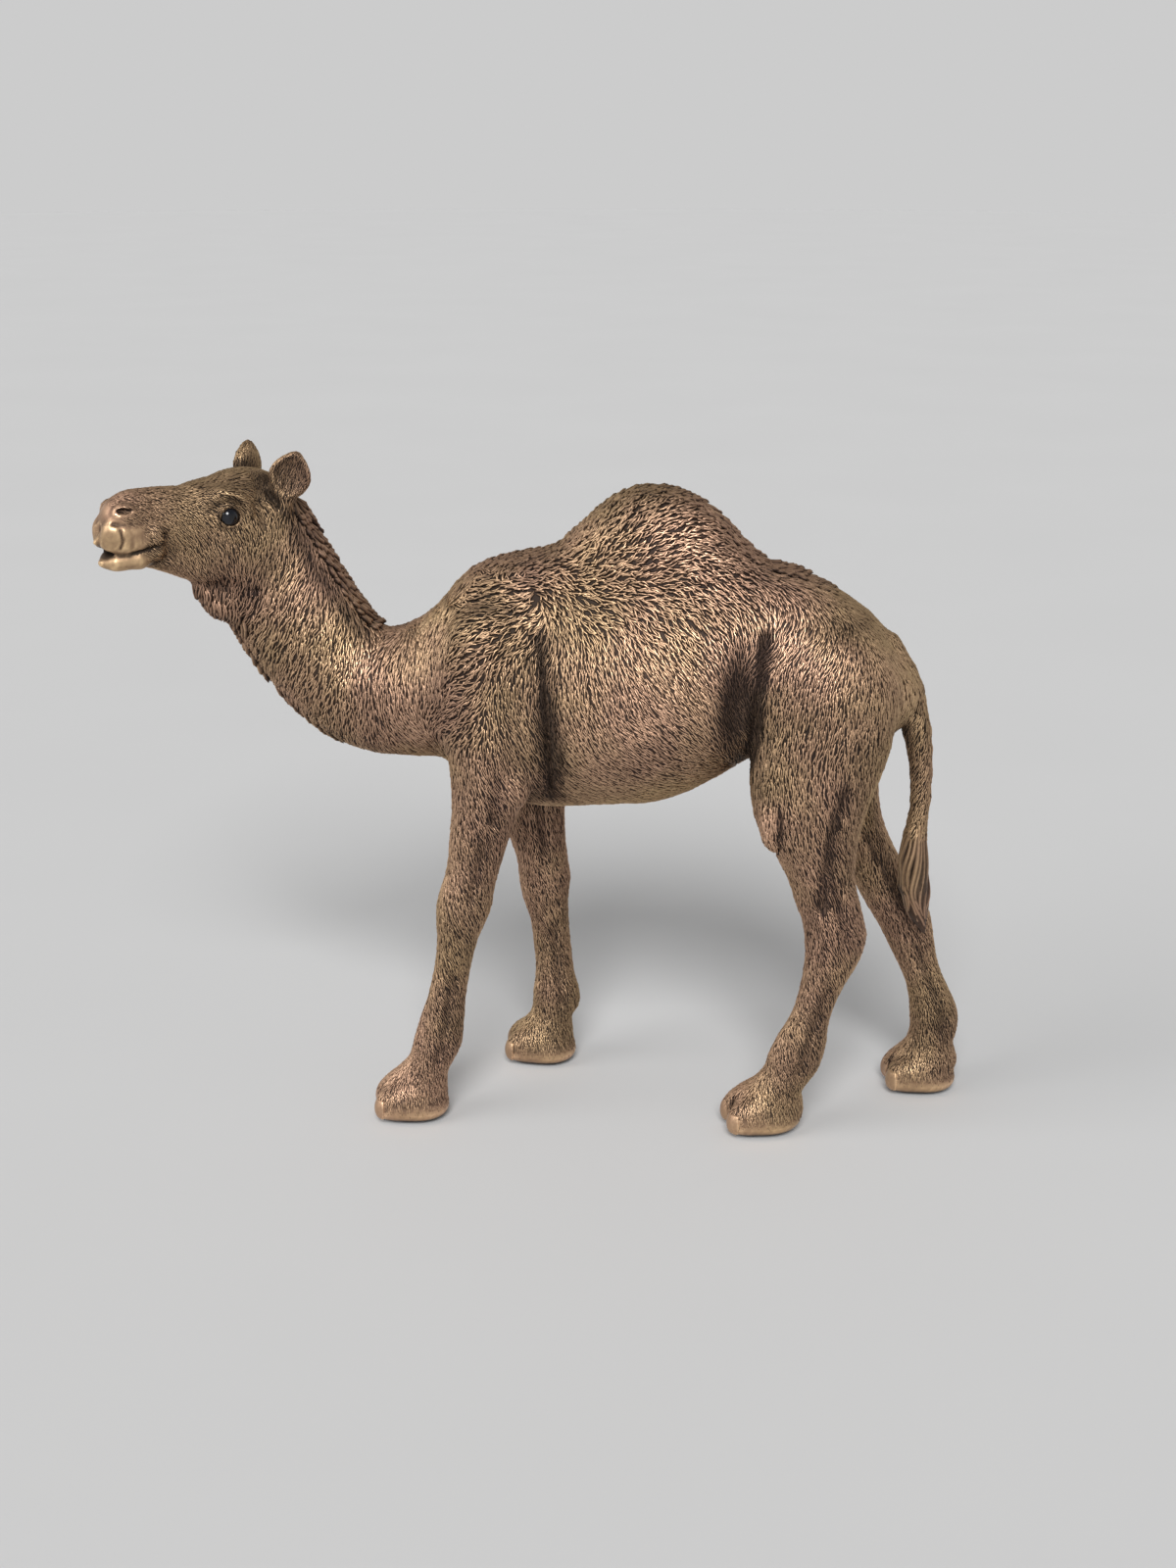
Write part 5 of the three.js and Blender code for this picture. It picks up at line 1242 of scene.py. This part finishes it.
def strand(i, start, top, low, thick):
    """Vertices of one strand from tip to tip, and the wear at each."""
    middle, heights, radius = np.array(TAIL[::-1]).T
    points, crest = [], []
    for k in range(STRAND_STEPS + 1):
        t = k / STRAND_STEPS
        z = top + (low - top) * t
        a = start + 0.5 * math.sin(7.5 * t + 0.7 * i) * t + 0.4 * t
        outward = np.array([math.sin(a), math.cos(a), 0])
        aside = np.array([math.cos(a), -math.sin(a), 0])
        sway = 0.8 * math.sin(7 * t + 0.5 * i) * t
        out = max(np.interp(z, heights, radius) - 0.8, 0.1)
        centre = out * outward + [0, np.interp(z, heights, middle) + sway, z]
        if k in (0, STRAND_STEPS):
            points.append(centre)
            crest.append(0.4)
            continue
        size = thick * math.sin(math.pi * min(t * 0.72 + 0.14, 1))**0.8
        for b in np.arange(STRAND_SIDES) * math.tau / STRAND_SIDES:
            points.append(centre + size * (outward * math.cos(b) * 0.8 + aside * math.sin(b) * 0.75))
            crest.append(max(math.cos(b) * 1.15 - 0.25, GROOVE))
    return points, crest


def add_tassel(material):
    """Long waved strands that close over the end of the tail."""
    points, faces, crest = [], [], []
    for i in range(STRANDS):
        start = math.tau * (i + rng.uniform(-0.3, 0.3)) / STRANDS
        top, low = TASSEL_TOP + rng.uniform(-3, 5), TASSEL_LOW + rng.uniform(0, 7)
        more, wear = strand(i, start, top, low, rng.uniform(1.2, 1.75))
        faces.append(tube_faces(STRAND_STEPS - 1, STRAND_SIDES)[:, ::-1] + len(points))
        points += more
        crest += wear
    points = np.array(points)
    tone = np.repeat(np.arange(STRANDS) / STRANDS, len(points) // STRANDS)
    attributes = {"crest": np.array(crest), "tone": tone, "shade": np.full(len(points), 0.42)}
    uv = np.clip(unwrap("tail", points), 0, 1)
    piece = make_mesh("locks_tassel", points, np.concatenate(faces), attributes, uv)
    finish_piece(piece, material)


NAIL_SWELL = 0.1               # how far a nail stands out of its toe
NAIL_INNER, NAIL_BACK, NAIL_TOP, NAIL_LOW = 0.9, 2.6, 8.4, 1.6     # where it ends, in its foot's own terms
NAIL_GRID, NAIL_ROOM = 0.4, 12.0


def add_nails(material):
    """Smooth nails on the fronts of the toes."""
    for name, (cx, tip, _) in FEET.items():
        for side, place in ((-1, "right"), (1, "left")):
            def nail(p):
                t = toe_frame(p, name)
                d = carve(toe(t, side, NAIL_SWELL), side * t[0] - NAIL_INNER, 0.5)
                d = carve(d, NAIL_BACK - t[1], 0.4)
                d = carve(d, NAIL_TOP - t[2], 0.5)
                return carve(d, t[2] - NAIL_LOW, 1.2)
            grid = [lines(c - NAIL_ROOM, (c + NAIL_ROOM, NAIL_GRID)) for c in (cx, tip + 3)]
            points, quads = surface(nail, grid + [lines(0.4, (11.0, NAIL_GRID))])
            points = settle(nail, points, vertex_normals(points, quads))
            curl = relief_of(points, quads, vertex_normals(points, quads))
            attributes = {"crest": np.clip(0.68 + 2.2 * curl, 0, 1), "tone": np.full(len(points), 0.5),
                          "shade": np.full(len(points), 0.1)}
            piece = make_mesh(f"nail_{name}_{place}", points, quads, attributes)
            finish_piece(piece, material)


def relief_of(points, quads, normals):
    """How far each vertex stands out of its neighbours: above 0 on edges, below 0 in folds."""
    total, count = np.zeros_like(points), np.zeros(len(points))
    for i in range(4):
        for j in ((i + 1) % 4, (i + 3) % 4):
            np.add.at(total, quads[:, i], points[quads[:, j]])
            np.add.at(count, quads[:, i], 1)
    return ((points - total / count[:, None]) * normals).sum(1)


BARE_WEAR, EDGE_WEAR = 0.69, 2.6       # wear of smooth metal, and what an edge adds for each millimetre


def add_skin(material):
    """The whole body in one skin, worn where it is bare and dark under the strokes and the soles."""
    curl = relief_of(skin_points, skin_quads, skin_normals)
    bare = BARE_WEAR + EDGE_WEAR * curl - 0.9 * (1 - ramp(skin_points[:, 2], 0.6, 2.0))
    crest = GROOVE * (1 - skin_bare) + np.clip(bare, 0, 1) * skin_bare
    # The shade attribute carries the painted shade of the folds and hollows
    attributes = {"crest": crest, "tone": np.full(len(crest), 0.5), "shade": skin_shade}
    piece = make_mesh("body_skin", skin_points, skin_quads, attributes)
    finish_piece(piece, material)
    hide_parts(*[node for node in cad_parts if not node.startswith("eye")])


EYE_RINGS, EYE_SPOKES = 24, 40


def add_eyes(material):
    """Glossy eyeballs in their sockets."""
    for side, name in ((1, "left"), (-1, "right")):
        centre = from_head(EYE[0], side * EYE[1], EYE[2])
        outward = LEFT * side
        points = [centre + outward * EYE_RADIUS]
        for a in np.arange(1, EYE_RINGS) * math.pi / EYE_RINGS:
            for b in np.arange(EYE_SPOKES) * math.tau / EYE_SPOKES:
                ring = FORWARD * math.cos(b) + UP * math.sin(b) * side
                points.append(centre + EYE_RADIUS * (outward * math.cos(a) + ring * math.sin(a)))
        points = np.array(points + [centre - outward * EYE_RADIUS])
        outness = np.degrees(np.arccos(np.clip((points - centre) @ outward / EYE_RADIUS, -1, 1)))
        faces = tube_faces(EYE_RINGS - 1, EYE_SPOKES)
        piece = make_mesh("eyeball_" + name, points, faces, {"aside": outness})
        finish_piece(piece, material)
        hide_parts("eye_" + name)


# ---------------------------------------------------------------- materials
MIX_A, MIX_B, MIX_RESULT = 6, 7, 2     # colour sockets of a Mix node


def add_node(tree, kind, inputs=(), **settings):
    """New node with its settings, and each input linked to a socket or set to a value."""
    made = tree.nodes.new(kind)
    for key, value in settings.items():
        setattr(made, key, value)
    for key, value in dict(inputs).items():
        if isinstance(value, bpy.types.NodeSocket):
            tree.links.new(value, made.inputs[key])
        else:
            made.inputs[key].default_value = value
    return made


def math_node(tree, operation, a, b=0.0):
    """Result of a sum on two sockets or values."""
    return add_node(tree, "ShaderNodeMath", {0: a, 1: b}, operation=operation).outputs[0]


def colour_ramp(tree, value, stops):
    """Colour that follows a value through stops of (value, colour)."""
    ramp_node = add_node(tree, "ShaderNodeValToRGB", {0: value})
    elements = ramp_node.color_ramp.elements
    while len(elements) < len(stops):
        elements.new(0.5)
    for element, (place, colour) in zip(elements, stops):
        element.position = place
        element.color = (*colour, 1)
    return ramp_node.outputs[0]


def noise(tree, scale, detail=3.0):
    place = add_node(tree, "ShaderNodeTexCoord").outputs["Object"]
    inputs = {"Vector": place, "Scale": scale, "Detail": detail}
    return add_node(tree, "ShaderNodeTexNoise", inputs).outputs[0]


def attribute(tree, name):
    return add_node(tree, "ShaderNodeAttribute", attribute_name=name).outputs["Fac"]


def new_material(name):
    """New material, with its node tree and its shader."""
    material = bpy.data.materials.new(name)
    material.use_nodes = True
    return material, material.node_tree, material.node_tree.nodes["Principled BSDF"]


def bronze():
    """Dark brown patina left in the grooves, rubbed back to bright metal on the crests."""
    material, tree, shader = new_material("antique_bronze")
    crest = attribute(tree, "crest")
    patches = noise(tree, 45.0)
    grain = noise(tree, 900.0, 4.0)
    # Wear of the finish from the crests, patches, grain and tone, less the painted shade held in the shade
    # attribute
    wear_and_shade = math_node(tree, "SUBTRACT", math_node(tree, "MULTIPLY", crest, 0.24), 0.11)
    for source, share in ((math_node(tree, "MULTIPLY", crest, crest), 0.62), (patches, 0.3), (grain, 0.22),
                          (attribute(tree, "tone"), 0.2), (attribute(tree, "shade"), -0.5)):
        wear_and_shade = math_node(tree, "ADD", wear_and_shade, math_node(tree, "MULTIPLY", source, share))
    colour = colour_ramp(tree, wear_and_shade, [
        (0.10, (0.036, 0.025, 0.020)), (0.34, (0.122, 0.080, 0.056)), (0.60, (0.345, 0.227, 0.152)),
        (0.82, (0.58, 0.40, 0.262)), (1.0, (0.85, 0.61, 0.40)),
    ])
    tint = colour_ramp(tree, noise(tree, 26.0, 2.0), [(0.4, (1.0, 0.985, 0.85)), (0.6, (1.05, 0.955, 0.965))])
    tinted = add_node(tree, "ShaderNodeMix", {0: 1.0, MIX_A: colour, MIX_B: tint}, data_type="RGBA",
                      blend_type="MULTIPLY")
    tree.links.new(tinted.outputs[MIX_RESULT], shader.inputs["Base Color"])
    shader.inputs["Metallic"].default_value = 0.78
    rough = math_node(tree, "MULTIPLY_ADD", wear_and_shade, -0.28)
    rough.node.inputs[2].default_value = 0.64
    tree.links.new(rough, shader.inputs["Roughness"])
    bump = add_node(tree, "ShaderNodeBump", {"Height": grain, "Strength": 0.25, "Distance": 0.0002})
    tree.links.new(bump.outputs[0], shader.inputs["Normal"])
    return material


def eye_glass():
    """Blue-black gloss with a slightly lighter ring round a dark pupil."""
    material, tree, shader = new_material("eye_glass")
    ring = math_node(tree, "MULTIPLY", attribute(tree, "aside"), 1 / 90)
    ring = math_node(tree, "ADD", ring, math_node(tree, "MULTIPLY", noise(tree, 2500.0), 0.08))
    colour = colour_ramp(tree, ring, [
        (0.2, (0.002, 0.002, 0.003)), (0.36, (0.006, 0.007, 0.011)), (0.6, (0.004, 0.004, 0.006)),
        (0.9, (0.003, 0.003, 0.003)),
    ])
    tree.links.new(colour, shader.inputs["Base Color"])
    shader.inputs["Roughness"].default_value = 0.09
    return material


def pale():
    """Faintly mottled matt board."""
    material, tree, shader = new_material("pale_floor")
    colour = colour_ramp(tree, noise(tree, 6.0), [(0.3, (0.602, 0.602, 0.602)), (0.7, (0.612, 0.612, 0.612))])
    tree.links.new(colour, shader.inputs["Base Color"])
    shader.inputs["Roughness"].default_value = 0.9
    shader.inputs["Specular IOR Level"].default_value = 0.1
    return material


# ---------------------------------------------------------------- studio
BACKGROUND = 0.604             # linear grey behind the figure
ZENITH = 0.22                  # the studio's ceiling
FLOOR_RADIUS = 6.0


def add_floor():
    """Round flat floor."""
    spokes = 96
    points = [(0.0, 0.0, 0.0)]
    for j in range(spokes):
        a = math.tau * j / spokes
        points.append((FLOOR_RADIUS * math.cos(a), FLOOR_RADIUS * math.sin(a), 0.0))
    faces = [(0, 1 + j, 1 + (j + 1) % spokes) for j in range(spokes)]
    mesh = bpy.data.meshes.new("floor")
    mesh.from_pydata(points, [], faces)
    mesh.materials.append(pale())
    floor = new_object("floor", mesh)


def add_world():
    """Even grey round the figure, darker overhead."""
    world = bpy.data.worlds.new("studio")
    world.use_nodes = True
    tree = world.node_tree
    way = add_node(tree, "ShaderNodeTexCoord").outputs["Generated"]
    height = add_node(tree, "ShaderNodeSeparateXYZ", {0: way}).outputs["Z"]
    stops = [(0.0, BACKGROUND), (0.12, BACKGROUND), (0.7, ZENITH)]
    grey = colour_ramp(tree, height, [(place, (level,) * 3) for place, level in stops])
    tree.links.new(grey, tree.nodes["Background"].inputs["Color"])
    bpy.context.scene.world = world
    bpy.context.scene.view_settings.view_transform = "Standard"


def aim(item, turn, height):
    """Makes a light or camera look back from turn degrees round from +X towards +Y, height degrees up."""
    a, e = math.radians(turn), math.radians(height)
    away = Vector((math.cos(a) * math.cos(e), math.sin(a) * math.cos(e), math.sin(e)))
    item.rotation_euler = (-away).to_track_quat("-Z", "Y").to_euler()


def add_sun(name, turn, height, softness, strength):
    """Distant soft light."""
    light = bpy.data.lights.new(name, "SUN")
    light.angle, light.energy = math.radians(softness), strength
    aim(new_object(name, light), turn, height)


CAMERA_AT = (604.06, 84.90, 300.0)     # in the figure's own frame, millimetres
CAMERA_TURN, CAMERA_PITCH = 8.0, 17.9
FOCAL_PIXELS, PICTURE_HEIGHT = 2145.0, 1600.0
SENSOR = 36.0


def add_camera():
    """Pinhole camera where the photo was taken from."""
    data = bpy.data.cameras.new("camera")
    data.sensor_fit = "VERTICAL"
    data.sensor_width = data.sensor_height = SENSOR
    data.lens = FOCAL_PIXELS / PICTURE_HEIGHT * SENSOR
    data.clip_start, data.clip_end = 0.01, 50.0
    camera = new_object("camera", data)
    camera.location = to_frame(np.array(CAMERA_AT))
    aim(camera, CAMERA_TURN, CAMERA_PITCH)
    bpy.context.scene.camera = camera


antique_bronze = bronze()
add_skin(antique_bronze)
add_coat(antique_bronze)
add_tassel(antique_bronze)
add_nails(antique_bronze)
add_eyes(eye_glass())
add_floor()
add_world()
add_sun("key", 5, 40, 26, 2.72)
add_sun("side", -60, 30, 40, 0.95)
add_camera()
